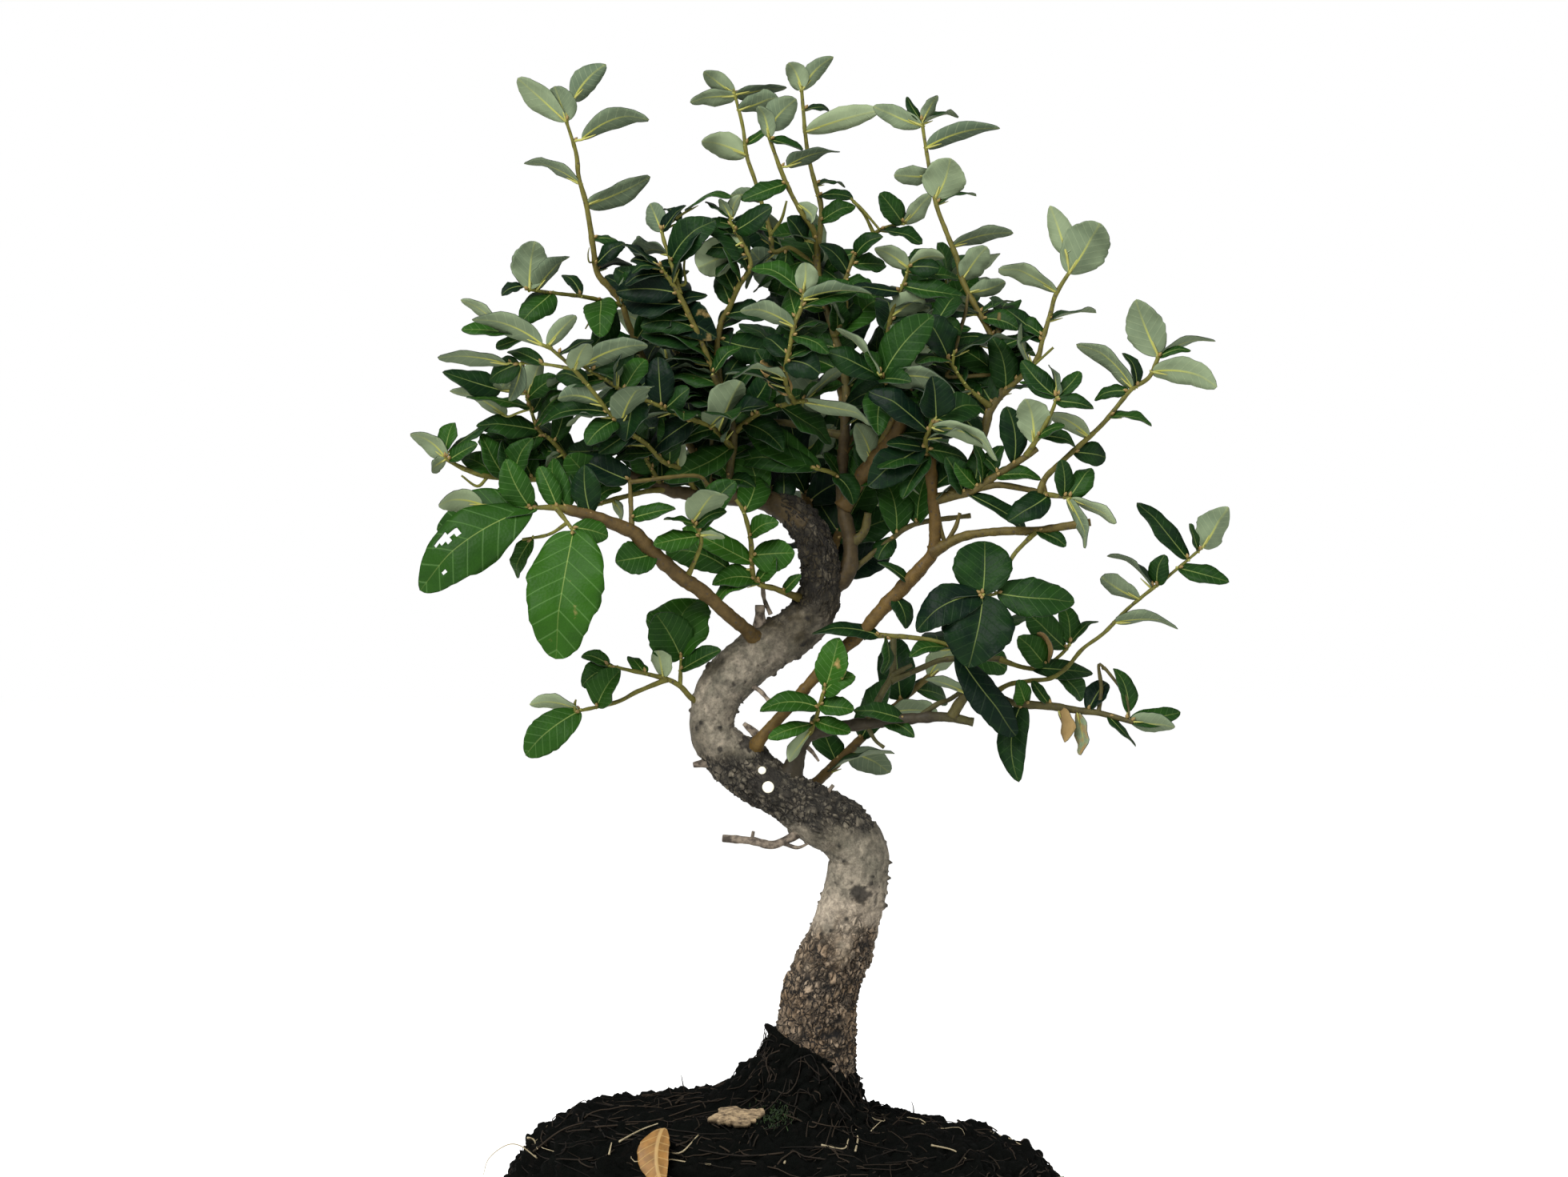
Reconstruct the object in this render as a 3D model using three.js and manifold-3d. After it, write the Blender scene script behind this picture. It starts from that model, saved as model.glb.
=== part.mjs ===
import * as THREE from 'three';
import { mergeVertices } from 'three/addons/utils/BufferGeometryUtils.js';
import Module from 'manifold-3d';

// A cork oak bonsai in an oval stoneware pot. Lengths are in millimetres, +Z is up, +X is to the
// right and -Y is the front. The tree stands 38 cm over its soil and its trunk is 28 mm thick.

// Driving dimensions of the pot and of what lies in it
const POT_WIDTH = 230;
const POT_DEPTH = 166;
const RIM_HEIGHT = 58;
const FOOT_HEIGHT = 8;
const FOOT_WIDTH = 30;
const FOOT_DEPTH = 22;
const FOOT_X = 50;
const FOOT_Y = 34;
const FLOOR_TOP = 16;
const DRAIN_OFFSET = 46;
const DRAIN_RADIUS = 8;
const DRAIN_MESH_SIZE = 26;
const DRAIN_MESH_THICKNESS = 1.2;
const DRAIN_MESH_PITCH = 6.5;
const DRAIN_MESH_OPENING = 4.5;
const POT_SEGMENTS = 32;
const DRAIN_SEGMENTS = 16;
// The pot's outside from foot to rim and its inside from rim to floor: how far each point lies in
// from the widest edge, and its height
const POT_OUTSIDE = [
  [20, FOOT_HEIGHT], [14, FOOT_HEIGHT + 4], [7, RIM_HEIGHT - 13], [1, RIM_HEIGHT - 9],
  [0, RIM_HEIGHT - 7], [0, RIM_HEIGHT - 2], [2, RIM_HEIGHT],
];
const POT_INSIDE = [[6, RIM_HEIGHT], [7.5, RIM_HEIGHT - 1], [14.5, 24], [20.5, FLOOR_TOP]];
// How far a cut or a joined piece runs on past the face that it meets
const OVERRUN = 1;

// Clearance between touching pieces
const GAP = 0.35;
// Points nearer than this are one point of a mesh
const SAME_POINT = 1e-4;
// How many sides a stem of each kind has
const TRUNK_SIDES = 12;
const ROOT_SIDES = 5;
const STUB_SIDES = 4;
const BOUGH_SIDES = 6;
const SHOOT_SIDES = 4;
const STALK_SIDES = 3;

// Branches are written as they look from straight in front, so each point can be read off a front
// view: x and z are where it is seen on the plane of the trunk, and y is its real depth.
const VIEW_DISTANCE = 1000;
const EYE_HEIGHT = 286.65;

// A leaf is a blade on a stalk, thickest in its middle and sharp at its edge. The outline gives,
// along its length and across its width, one side of the blade between its base and its tip.
const BLADE_THICKNESS = 1.6;
const BLADE_MIDDLE = 0.42;
const BLADE_SIDE = [[0.33, 0.5], [0.76, 0.4]];
const STALK_RADIUS = 0.55;
const SHORTEST_STALK = 2.5;
const STEM_END = 1.5;
const NARROWEST_TURN = 0.2;

const FINISHES = {
  stoneware: { color: 0x6d4a3a, roughness: 0.8 },
  mesh: { color: 0x23262a, roughness: 0.6 },
  peat: { color: 0x1a1714, roughness: 1 },
  bark: { color: 0x6f665a, roughness: 0.9 },
  wood: { color: 0x8a6d4c, roughness: 0.9 },
  shoot: { color: 0x35583a, roughness: 0.5 },
  chip: { color: 0xc9a982, roughness: 0.9 },
  deadLeaf: { color: 0xb98a45, roughness: 0.8 },
};

// The trunk sweeps right, left and right again, and ends where the left bough leaves it.
// Each point is x, y, z and the radius there.
const TRUNK = [
  [12, 0, 74, 15], [12, 0, 88, 17], [12, 0, 100, 15.5], [13, 0, 130, 15], [15.5, -1, 140, 13.9],
  [19.5, -2, 150, 13.4], [23, -3, 160, 12.3], [26, -4, 170, 12], [27.5, -5, 180, 11.2],
  [27.5, -6, 188, 11], [22, -7, 196, 11.3], [14, -8, 201, 11.2], [4.5, -8, 206.5, 10],
  [-5, -8, 212, 10], [-15, -7, 219, 10], [-21.5, -6, 224.5, 9.8], [-26.5, -5, 232, 8.6],
  [-26.5, -4, 240, 8.7], [-24, -4, 248, 9.4], [-19, -4, 254, 9.8], [-13, -3, 259.5, 9.2],
  [-5, -2, 265.5, 9.4], [3.5, -1, 270.5, 9.2], [10, 0, 277, 9], [13.5, 0, 285, 8.5],
  [14, 1, 293, 8], [12.5, 1, 301, 8], [9, 1, 309, 7.4], [3, 1, 315.5, 6.2], [-3, 1, 318, 4.8],
];

// Roots inside the soil and short dead stubs on the trunk, all one wood with it
const ROOTS = [
  [[10, 0, 90, 9], [-12, -6, 80, 7], [-38, -10, 66, 5], [-62, -12, 48, 3]],
  [[14, 0, 90, 9], [34, 4, 74, 7], [56, 6, 58, 5], [76, 4, 42, 3]],
  [[12, -2, 88, 8], [8, -22, 74, 6], [0, -38, 56, 4], [-8, -44, 40, 3]],
  [[12, 2, 88, 8], [18, 22, 72, 6], [22, 36, 54, 4], [30, 44, 38, 3]],
];
const TRUNK_STUBS = [
  [[10, -9, 197, 2.2], [0, -14, 192, 1.6], [-5, -16, 190.5, 1.5], [-12, -18, 192, 1.6], [-23, -20, 193, 1.3]],
  [[-28, -6, 221.5, 2], [-34, -7, 220.5, 1]],
  [[-12, -9, 226, 2.4], [-10, -12, 231, 1.8], [-15, -14, 236, 0.8]],
  [[-9, -4, 270, 2.6], [-9, -5, 276, 2], [-9, -5, 280.5, 1.8]],
];

// Boughs: each has stems of points x, y, z and radius, and leaves of base x, base z, tip x, tip z,
// the width that shows, the turn in degrees and the depth of the tip behind the base. A turn of 90
// shows the upper face to the front, -90 the underside, and 0 only the edge.
const BOUGHS = {
  branch_left: {
    stems: [
      [[8, 1, 311, 4.8], [-3, 0, 318, 4.6], [-10, 0, 320, 4.3], [-20, -2, 321, 3.8], [-32, -4, 321.5, 3.3],
        [-44, -7, 324, 3], [-54, -9, 328, 2.8], [-66, -11, 330.5, 2.6], [-78, -13, 331, 2.5],
        [-89, -15, 330.5, 2.3]],
    ],
    leaves: [],
  },
  branch_lower_left: {
    stems: [
      [[-9, -5, 266, 3.2], [-15, -14, 272, 3], [-20, -19, 276, 3.1], [-30, -25, 285, 3.2],
        [-40, -30, 292, 3.2], [-52, -36, 303, 3.1], [-57, -38, 308, 3], [-70, -41, 313, 2.8],
        [-76, -42.5, 315, 2.6], [-82, -43.5, 316.5, 2.2]],
      [[-57, -38, 308, 1.2], [-57.5, -34, 320, 1], [-58, -31, 328, 0.8]],
    ],
    leaves: [[-57, 313, -41, 317, 6.5, 60, -6], [-49, 299, -63, 297, 12, 65, -8]],
  },
  branch_left_upright: {
    stems: [
      [[-22, -2, 321, 2.6], [-20.5, -3, 332, 2.1], [-19, -4, 342, 2], [-20, -5, 350, 1.9],
        [-24, -8, 361, 1.7], [-26.5, -10, 367, 1.5]],
    ],
    leaves: [
      [-20, 340, -45, 328, 10, 60, -12], [-22, 329, -30, 335, 8, 60, -8], [-21, 327, -11, 325, 6, 55, -8],
    ],
  },
  branch_right_upright: {
    stems: [
      [[12, 0, 283, 4.6], [23, 3, 292, 4], [25, 5, 303, 3.5], [22, 6, 318, 3], [22, 7, 335, 2.6],
        [23, 8, 350, 2.3], [23, 9, 365, 2], [18, 9, 385, 1.8], [13, 8, 400, 1.6], [12, 7, 411, 1.5]],
      [[25, 5, 303, 2.2], [30, 3, 308, 1.9], [31.5, 2, 315, 1.8]],
      [[22, 2, 290, 1.6], [30, 6, 297, 1.3], [40, 9, 305, 1.2], [50, 11, 311, 1.2], [70, 12, 314, 1.1]],
    ],
    leaves: [[41, 306, 35, 298, 8, 60, -5]],
  },
  branch_orange: {
    stems: [
      [[22, 6, 317, 3], [30, 3, 330, 3.4], [40, -2, 342, 3.8], [44, -5, 352, 3.9], [46, -7, 362, 2.6],
        [42, -8, 372, 2.1], [38, -9, 381, 1.9]],
    ],
    leaves: [[27, 327, 40, 346, 15, 70, 10]],
  },
  branch_front_right: {
    stems: [
      [[-11, -10, 226, 3], [-9, -14, 230, 2.5], [0, -16, 240, 2.4], [10, -18, 251.5, 2.6],
        [20, -19, 262, 2.8], [29, -21, 270, 3], [36, -23, 278, 3.1], [44, -25, 286.5, 3.2],
        [52, -27, 295, 3], [56, -28, 301, 2.8], [56.5, -29, 312, 2.6], [55.5, -30, 325, 2.6],
        [55, -31, 336, 2.5]],
    ],
    leaves: [[42, 283, 46, 272, 8, 60, -6], [47, 289, 36, 297, 4, 45, -6]],
  },
  branch_cut: {
    stems: [
      [[55, -28, 300, 2.4], [67, -31, 306, 2], [80, -34, 308, 1.9], [95, -37, 308.5, 1.8],
        [115, -40, 311.5, 1.7]],
    ],
    leaves: [[95, 308, 106, 303.5, 5, 50, -4]],
  },
  branch_right_fork: {
    stems: [
      [[56, -29, 320, 2.2], [70, -32, 323, 1.8], [78, -34, 328, 1.6], [86, -36, 333, 1.5],
        [95, -39, 339, 1.3]],
      [[72, -32, 324, 1.5], [80, -34, 325.5, 1.4], [90, -36, 324, 1.3], [98, -38, 322, 1.3]],
    ],
    leaves: [
      [68, 322, 93, 308, 5, 50, 5], [80, 328, 96, 329, 6, 55, -5], [72, 325, 64, 334, 7, 60, -5],
      [67, 323, 61, 336, 8, 60, -6], [80, 330, 72, 337, 4, 50, 3],
    ],
  },
  branch_right_up: {
    stems: [
      [[63, -30, 321.5, 2], [70, -27, 333, 2.1], [75, -24, 345, 2], [77, -22, 353, 2],
        [81, -20, 360, 2], [79, -19, 367, 1.9], [80, -18, 376, 1.7], [81, -17, 390, 1.1]],
    ],
    leaves: [[80, 363, 70, 368, 6, 60, 5]],
  },
  branch_low_right: {
    stems: [
      [[1, -8, 214, 4.4], [4, -9, 221, 3.8], [6, -10, 228, 3.5], [11, -11, 232.5, 3.2],
        [20, -12, 234.5, 3], [31, -14, 236, 2.8], [45, -15, 237.5, 2.6], [60, -16, 238.5, 2.3],
        [71, -16, 236.5, 1.8]],
      [[32, -14, 237, 1.8], [36, -10, 246, 1.6], [40, -7, 253, 1.5], [41, -5, 258, 1.4],
        [41, -2, 268, 1.3]],
      [[40, -7, 252, 1.5], [52, -6, 257, 1.3], [60, -6, 260, 1.3], [75, -8, 260.5, 1.3],
        [83, -9, 260, 1.3]],
    ],
    leaves: [[45, 239, 27, 242, 6, 55, -6], [36, 236, 49, 231, 5, 55, -5]],
  },
  branch_low_right_far: {
    stems: [
      [[63, -16, 238.5, 2.1], [66, -17, 244, 2], [70, -18, 247, 2], [78, -20, 246, 1.9],
        [87, -22, 243.5, 1.9], [100, -24, 242.5, 1.8], [110, -26, 241, 1.6], [118, -28, 240, 1.4],
        [131, -32, 236.5, 1.1]],
    ],
    leaves: [
      [69, 248, 53, 253, 4, -35, -4], [103, 242, 106, 229, 4, -30, -4], [110, 241, 113, 224, 4.5, -40, -5],
      [89, 242, 88, 214, 11, 65, -6], [91, 244, 88, 252, 8, 60, -5], [100, 243, 93, 252, 4, 50, 5],
      [129, 240, 124, 257, 7, 60, 4], [131, 236, 147, 236, 8, -60, -5], [131, 238, 149, 241, 7, 60, 4],
      [121, 238, 132, 227.5, 3.5, 35, -5], [114, 241, 121, 252, 7, 60, 5],
    ],
  },
};

// Leafy shoots: young wood with its leaves, written as the boughs are
const SHOOTS = {
  shoot_top_left: {
    stems: [
      [[-26, -3, 322, 2.4], [-33, 6, 336, 2.2], [-42, 10, 352, 2.1], [-51, 11, 369, 2],
        [-58, 10, 385, 2], [-61, 9, 394, 2], [-66, 7, 400, 1.9], [-70, 6, 405, 1.8],
        [-71.5, 4, 414, 1.7], [-74, 2, 430, 1.5], [-77, 0, 441, 1.4], [-78, -1, 450, 1.3],
        [-82, -4, 463, 1]],
      [[-61, 9, 393, 1.4], [-75, -2, 396, 1.2], [-87, -12, 397.5, 1.1], [-97, -20, 399, 0.9]],
    ],
    leaves: [
      [-82, 464, -100, 478, 9, -65, -6], [-80, 462, -86, 475, 12, -75, -4], [-79, 470, -67, 483, 9, -70, 6],
      [-82, 466, -84, 476, 5, 60, 3], [-76, 455, -50.5, 464, 7, -45, -8], [-72, 431, -50, 441, 7.5, -50, 8],
      [-78, 438, -96.5, 447.5, 4, -22, 6], [-97, 400, -94, 416, 14, -75, 4], [-93, 400, -81, 412, 6, -35, -6],
      [-98, 400, -106, 397, 4.5, 50, -3], [-87, 397, -99, 387.5, 11, 70, -10], [-76, 397, -83, 405, 5, 60, 8],
      [-71, 418, -59, 416, 4, 40, 6], [-70, 408, -61, 417, 6, 55, -5], [-69, 406, -57, 409, 3.5, 25, 4],
      [-60, 394, -52, 405, 8, 60, -8], [-58, 392, -54, 407, 7, -50, -4],
    ],
  },
  shoot_tuft: {
    stems: [
      [[-20, -5, 351, 1.9], [-28, -9, 372, 1.7], [-35, -12, 388, 1.6], [-40, -14, 398, 1.5],
        [-42, -15, 401, 1.3], [-47, -17, 408, 1.1]],
      [[-39, -13.5, 397, 1.4], [-42, -12, 408, 1.2], [-45, -10, 417, 1.1], [-46, -9, 422, 1]],
    ],
    leaves: [
      [-43, 409, -27, 425, 13, 70, -8], [-48, 407, -57, 406.5, 3, 30, -4], [-49, 409, -58, 411, 3.5, 60, 5],
      [-46, 423, -38, 431, 5, 45, -4], [-46, 422, -50, 431, 8, -60, 3], [-39, 424, -45, 430, 4, 60, 5],
      [-37, 428, -21, 436, 2.2, 12, -6], [-47, 409, -60, 416.5, 2.5, 15, 6],
    ],
  },
  shoot_top_middle: {
    stems: [
      [[-23, -7, 357, 2], [-25, -4, 372, 1.9], [-24, -3, 385, 1.8], [-20, -5, 393, 1.5],
        [-17, -8, 400, 1.5], [-12.5, -10, 408, 1.4], [-16, -10, 417, 1.2], [-20, -12, 424, 1],
        [-19.5, -12, 427, 1]],
    ],
    leaves: [
      [-20, 426, -24, 433, 4, -50, -3], [-19, 427, -17, 434, 4, -50, 3], [-17, 416, -33, 407, 13, -65, -8],
      [-20, 422, -29, 424, 5, 45, 5], [-18, 421, -5, 430, 9, 60, -8], [-14, 411, -26, 405, 2.2, 15, -6],
      [-20, 427, -29, 432, 2, 15, 6], [-23, 380, -3, 376, 11, 65, 6],
    ],
  },
  shoot_top_middle_back: {
    stems: [
      [[12, 8, 407, 1.6], [3, 9, 414, 1.5], [-4, 10, 413, 1.5], [-5, 11, 420, 1.4], [-8, 12, 430, 1.3],
        [-11, 13, 440, 1.3], [-14, 13, 449, 1.2], [-15.5, 13, 460, 1.1], [-19, 13, 474, 0.9]],
    ],
    leaves: [
      [-19, 472, -30, 481, 7, -60, -4], [-18, 472, 0, 476, 5, -40, 6], [-20, 471, -35, 470, 5.5, -45, 4],
      [-17, 466, -2, 472, 6, -45, -7], [-15, 449, -31, 455, 10, -70, -3], [-14, 453, -5, 460, 4, 50, 8],
      [-9, 432, -20, 434, 4, -40, 8],
    ],
  },
  shoot_crown: {
    stems: [
      [[13, 8, 402, 1.7], [12.5, 6, 412, 1.7], [11, 0, 421, 1.6], [7, -3, 427, 1.5], [3, -4, 434, 1.4],
        [-1, -5, 443, 1.3], [-6, -5, 457, 1.1]],
      [[12.5, 6, 411, 1.6], [14, 12, 428, 1.6], [12, 14, 437, 1.4], [9.5, 15, 447, 1.3],
        [8, 15, 457, 1.2], [6.5, 15, 475, 1]],
    ],
    leaves: [
      [-6, 459, 4, 470, 11, -75, 3], [-6, 458, -9, 468, 6, -60, -4], [-5, 455, 7, 451, 5, 40, -6],
      [1, 445, 21, 451, 4.5, -25, -8], [0, 438, -16, 432, 7, 55, -4], [6.5, 474, 2, 484, 8, -75, -2],
      [7, 475, 18, 486, 7, -70, 3], [7, 466, 17, 467, 3, 30, 5], [10, 458, 36, 466, 8, -60, -5],
      [12, 438, 23, 438.5, 2.5, 20, 4], [14, 434, 26, 433, 4.5, 40, -5], [5, 431, 12, 424, 5, -50, -4],
      [14, 424, 26, 431, 7, 55, -4], [8, 417, 2, 426, 8, 60, -6],
    ],
  },
  shoot_crown_right: {
    stems: [
      [[19, 9, 381, 1.7], [23, 6, 391, 1.6], [23, 7, 402, 1.5], [28, 9, 414, 1.4], [36, 11, 421, 1.2],
        [46, 12, 424, 1]],
      [[34, 10.5, 419, 1.1], [30, 9, 427, 1], [25, 8, 433, 0.9]],
    ],
    leaves: [
      [21, 383, 19, 396, 8, 65, -8], [25, 412, 36, 419, 7, 60, -8], [22, 402, 34, 397, 9, 65, -8],
      [23, 405, 14, 416, 8, 60, -6], [26, 408, 38, 408, 8, 60, 5], [27, 413, 15, 406, 7, 60, 4],
      [45, 424, 36, 435, 9, 60, -4], [36, 421, 52, 418, 4, 30, -8], [46, 424, 54, 435, 6, -50, 3],
    ],
  },
  shoot_front_yellow: {
    stems: [
      [[-18, -4, 346, 1.6], [-10, -11, 352, 1.5], [-3, -17, 354.5, 1.4], [4, -22, 356.5, 1.3],
        [9, -25, 357, 1.2]],
      [[4, -22, 356.5, 1.4], [1, -34, 362, 1.4], [0.5, -42, 368.5, 1.4], [2, -45, 376, 1.4],
        [4, -46, 386, 1.3], [6.5, -46, 392, 1.2], [7.5, -46, 400, 1]],
    ],
    leaves: [
      [7.5, 399, 8, 409, 8.5, -75, -3], [5, 397, -12, 408, 7, 50, 8], [3, 385, -16.5, 392.5, 6, -45, -8],
      [7, 395, 33, 397, 3.5, -25, -6], [4, 383, 15, 388, 3, 25, 6], [4, 381, 17, 376, 4, 35, -7],
      [1, 372, 13, 368, 12, 75, -6], [2, 374, -7, 382, 8, 65, 5], [-12, 356, -5, 368, 10, 70, -8],
      [3, 360, -9, 372, 8, 65, -6], [-2, 355, -9, 352, 5, 60, -5], [7, 357, 36, 351, 5, -40, -10],
      [8, 359, 24, 371, 3, -25, 6],
    ],
  },
  shoot_inner_top_left: {
    stems: [
      [[-20, -5, 346, 1.9], [-26, 0, 356, 1.9], [-33, 2, 366, 1.8], [-41, 3, 376, 1.6],
        [-46, 0, 386, 1.3], [-46, -5, 393, 1]],
    ],
    leaves: [
      [-46, 390, -26, 382, 14, 75, -10], [-45, 391, -30, 398, 6, 50, -8], [-43, 378, -28, 379, 3.5, -25, -8],
      [-45, 380, -57, 378, 3, 25, -4], [-38, 372, -57, 361, 8, 60, -6], [-32, 363, -49, 356, 9, 65, 4],
      [-29, 360, -43, 356, 2, 12, -8],
    ],
  },
  shoot_left_yellow: {
    stems: [
      [[-33, -4, 323, 1.6], [-38, -12, 331, 1.5], [-45, -20, 334, 1.4], [-52, -28, 341, 1.3],
        [-60, -35, 346.5, 1.3], [-66, -40, 353, 1.2], [-72, -45, 361, 1.2], [-80, -50, 370, 1.1],
        [-89, -56, 378, 1]],
      [[-87, -55, 376.5, 1], [-98, -52, 381, 0.9], [-107, -48, 386, 0.8]],
      [[-79, -49, 369, 1], [-92, -46, 371, 0.9], [-103, -43, 371, 0.8]],
    ],
    leaves: [
      [-90, 379, -117, 388, 8, -50, -8], [-88, 379, -78, 389, 6, -60, -4], [-84, 375, -72, 381, 3, 25, 5],
      [-107, 387, -120, 396, 4, -35, 3], [-100, 382, -121, 384, 4, 30, -5], [-97, 381, -108, 377, 4, 50, 6],
      [-104, 371, -130, 373.5, 5, -35, -6], [-90, 371, -104, 377, 6, 60, 5], [-99, 371, -111, 365, 10, 70, 4],
      [-68, 355, -85, 358, 6, -50, -6], [-74, 363, -86, 368, 8, 65, 6], [-63, 350, -74, 341, 9, 65, -8],
      [-67, 351, -92, 349, 7, 50, 4],
    ],
  },
  shoot_left_yellow_inner: {
    stems: [
      [[-19, -4, 339, 1.5], [-27, -14, 347, 1.4], [-35, -22, 350, 1.4], [-42, -27, 353, 1.3],
        [-50, -31, 356.5, 1.3], [-57, -34, 358.5, 1.2], [-67, -37, 365, 1.1], [-77, -40, 371, 1]],
      [[-26.5, -13.5, 346.5, 1.1], [-30, -15, 353, 0.9]],
    ],
    leaves: [
      [-76, 371, -51, 378, 8, -60, -10], [-72, 369, -60, 374, 9, 65, 4], [-60, 361, -52, 373, 9, 65, 6],
      [-58, 358, -60, 343, 15, 75, -6], [-27, 346, -41, 340, 8, 65, -6], [-45, 353, -36, 362, 8, 60, -6],
    ],
  },
  shoot_left_fan: {
    stems: [
      [[-79, -13, 330, 1.7], [-82, -15, 336, 1.4], [-87, -18, 342, 1.3], [-92, -20, 346, 1.2],
        [-95, -22, 354, 1.1], [-97, -23, 361, 1]],
    ],
    leaves: [
      [-97, 360, -109, 365, 7, -60, -4], [-96, 359, -92, 373, 9, -60, 4], [-95, 358, -85, 366, 7, 55, -5],
      [-106, 361, -128, 368, 10, 60, -8], [-104, 351, -124, 362, 7, -50, 3], [-97, 354, -119, 359, 4, 25, -10],
      [-92, 346, -115, 349, 9, 60, -6], [-89, 343, -115, 342, 8, 55, 2], [-83, 337, -90, 333, 4, -40, -5],
      [-92, 348, -80, 362, 6, 60, 6],
    ],
  },
  shoot_far_left: {
    stems: [
      [[-75, -13, 330, 1.9], [-85, -17, 328, 1.7], [-95, -20, 327.5, 1.6], [-105, -22, 328, 1.5],
        [-113, -24, 329, 1.4], [-121, -25, 332, 1.3], [-128, -26, 336, 1.1]],
    ],
    leaves: [
      [-128, 337, -140, 345, 7.5, -60, -3], [-127, 338, -124, 349, 8, 60, 3], [-126, 338, -108, 351, 4, 30, 4],
      [-125, 336, -115, 341, 6, 60, -4], [-128, 335, -133, 331, 5, -50, -4], [-104, 330, -113, 345, 9, 60, -4],
      [-106, 330, -121, 337, 8, 60, 3], [-101, 329, -95, 343, 9, 65, -6],
    ],
  },
  shoot_low_left_tip: {
    stems: [
      [[-80, -43, 316, 2], [-86, -44.5, 317, 1.7], [-93, -46, 317, 1.3], [-98, -47, 317, 1]],
      [[-85.5, -44.5, 317, 1.4], [-81, -47, 311, 1.2], [-78, -48, 307, 1]],
      [[-81, -47, 311.5, 1.1], [-88, -42, 307, 1], [-98, -38, 305, 0.8]],
    ],
    leaves: [
      [-94, 315, -137, 288, 22, 75, -12], [-92, 316, -131, 310, 12, 55, 6], [-113, 318, -130, 319, 9, -65, -6],
      [-78, 309, -87, 262, 27, 80, -14], [-79, 310, -66, 306, 8, 60, 5], [-94, 305, -102, 290.5, 7, 60, 6],
      [-94, 318, -107, 326, 9, 65, 6],
    ],
  },
  shoot_low_fork: {
    stems: [
      [[-43, -7, 324, 1.8], [-52, -12, 323, 1.6], [-62, -18, 320.5, 1.4], [-73, -24, 317.5, 1.3],
        [-83, -29, 315.5, 1]],
    ],
    leaves: [
      [-74, 319, -76, 329, 11, 65, 4], [-72, 319, -62, 325, 5, 50, -5], [-83, 317, -83, 326, 5, 60, 4],
      [-64, 319, -60, 312, 4, -50, -3],
    ],
  },
  shoot_inner_left: {
    stems: [
      [[-37, -28, 289.5, 1.6], [-33, -32, 298, 1.3], [-31, -34, 305, 1.1], [-34, -36, 312, 0.9]],
    ],
    leaves: [
      [-34, 311, -45, 313, 3, 25, -4], [-33, 310, -22, 316, 5, 45, -5], [-31, 307, -22, 306, 3.5, -50, -4],
      [-32, 306, -49, 303, 8, 60, -6],
    ],
  },
  shoot_inner_low: {
    stems: [
      [[6, -4, 283, 2], [-3, -12, 286.5, 1.7], [-11, -15, 290, 1.5], [-12.5, -16, 305, 1.4],
        [-15, -17, 315, 1.2], [-18, -18, 320, 1]],
    ],
    leaves: [
      [-13, 290, -27, 288, 9, 65, -6], [-9, 288, -27, 282, 5, 45, -10], [-9, 291, -3, 298, 7, 60, -4],
      [-12, 299, 4, 300, 12, 65, -3], [-13, 306, -3, 312, 7, 60, -6], [0, 286, 6, 292, 4, 60, -4],
      [-20, 293, -44, 301, 13, 70, -3], [-13, 296, -38, 310, 9, 60, 3],
    ],
  },
  shoot_trunk_left: {
    stems: [
      [[-27, -4, 242, 2], [-34, -8, 245, 1.7], [-39, -11, 250, 1.5], [-45, -13, 253, 1.4],
        [-58, -16, 256, 1.1], [-67, -17, 258, 0.8]],
      [[-44, -13, 252.5, 1.4], [-55, -18, 248, 1.3], [-63, -22, 244, 1.2], [-78, -27, 240.5, 1]],
      [[-39, -11, 249.5, 1.2], [-38.5, -9, 262, 0.9]],
    ],
    leaves: [
      [-78, 241, -97, 225, 13, 70, -8], [-78, 241, -95, 244, 5, -40, 6], [-70, 242, -62, 256, 12, 65, -6],
      [-63, 257, -76, 251, 9, 60, -4], [-52, 254, -58, 262, 5, 50, 4], [-66, 258, -76, 262, 5, 55, 3],
      [-45, 254, -47, 264, 7.5, -60, -5], [-39, 261, -48, 277, 17, 75, -8], [-38, 261, -34, 284, 23, 70, 8],
      [-39, 256, -24, 264, 6, 50, -6],
    ],
  },
  shoot_mid_left: {
    stems: [
      [[-46, -7, 324.5, 1.6], [-50, -14, 332, 1.3], [-54, -18, 338, 1.1], [-60, -20, 341, 0.9]],
    ],
    leaves: [
      [-60, 340, -81, 338, 9, 65, 5], [-49, 331, -58, 341, 13, 70, -6], [-48, 328, -58, 324, 5, 50, -5],
      [-51, 334, -44, 347, 6, 60, 4],
    ],
  },
  shoot_mid_centre: {
    stems: [
      [[22, 6, 326, 1.8], [18, -4, 330, 1.4], [10, -8, 332, 1.1]],
    ],
    leaves: [[12, 330, -18, 336, 10, 65, 4], [14, 332, -14, 348, 12, 65, 8], [19, 329, 26, 318, 8, 60, -4]],
  },
  shoot_centre_cup: {
    stems: [
      [[46, -7, 360, 1.8], [42, -20, 362, 1.4], [38, -33, 364, 1.2], [36, -40, 367, 1]],
    ],
    leaves: [
      [36, 366, 17, 376, 9, 60, -5], [37, 367, 56, 389, 14, 70, -6], [38, 366, 65, 362, 8, -50, -8],
      [35, 366, 30, 375, 6, 60, -8],
    ],
  },
  shoot_orange_top: {
    stems: [
      [[55, -30, 333, 1.9], [53, -36, 340, 1.5], [54, -41, 345, 1.3], [56, -44, 350, 1.1]],
    ],
    leaves: [
      [57, 351, 56, 366, 13, 70, -5], [53, 346, 34, 362, 9, 60, -6], [56, 347, 82, 337, 6, -45, -8],
      [58, 350, 74, 346, 5, 50, 5], [52, 340, 32, 327, 13, 70, -8], [54, 339, 69, 335, 8, 60, 6],
      [54, 337, 44, 322, 8, 60, -10],
    ],
  },
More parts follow.
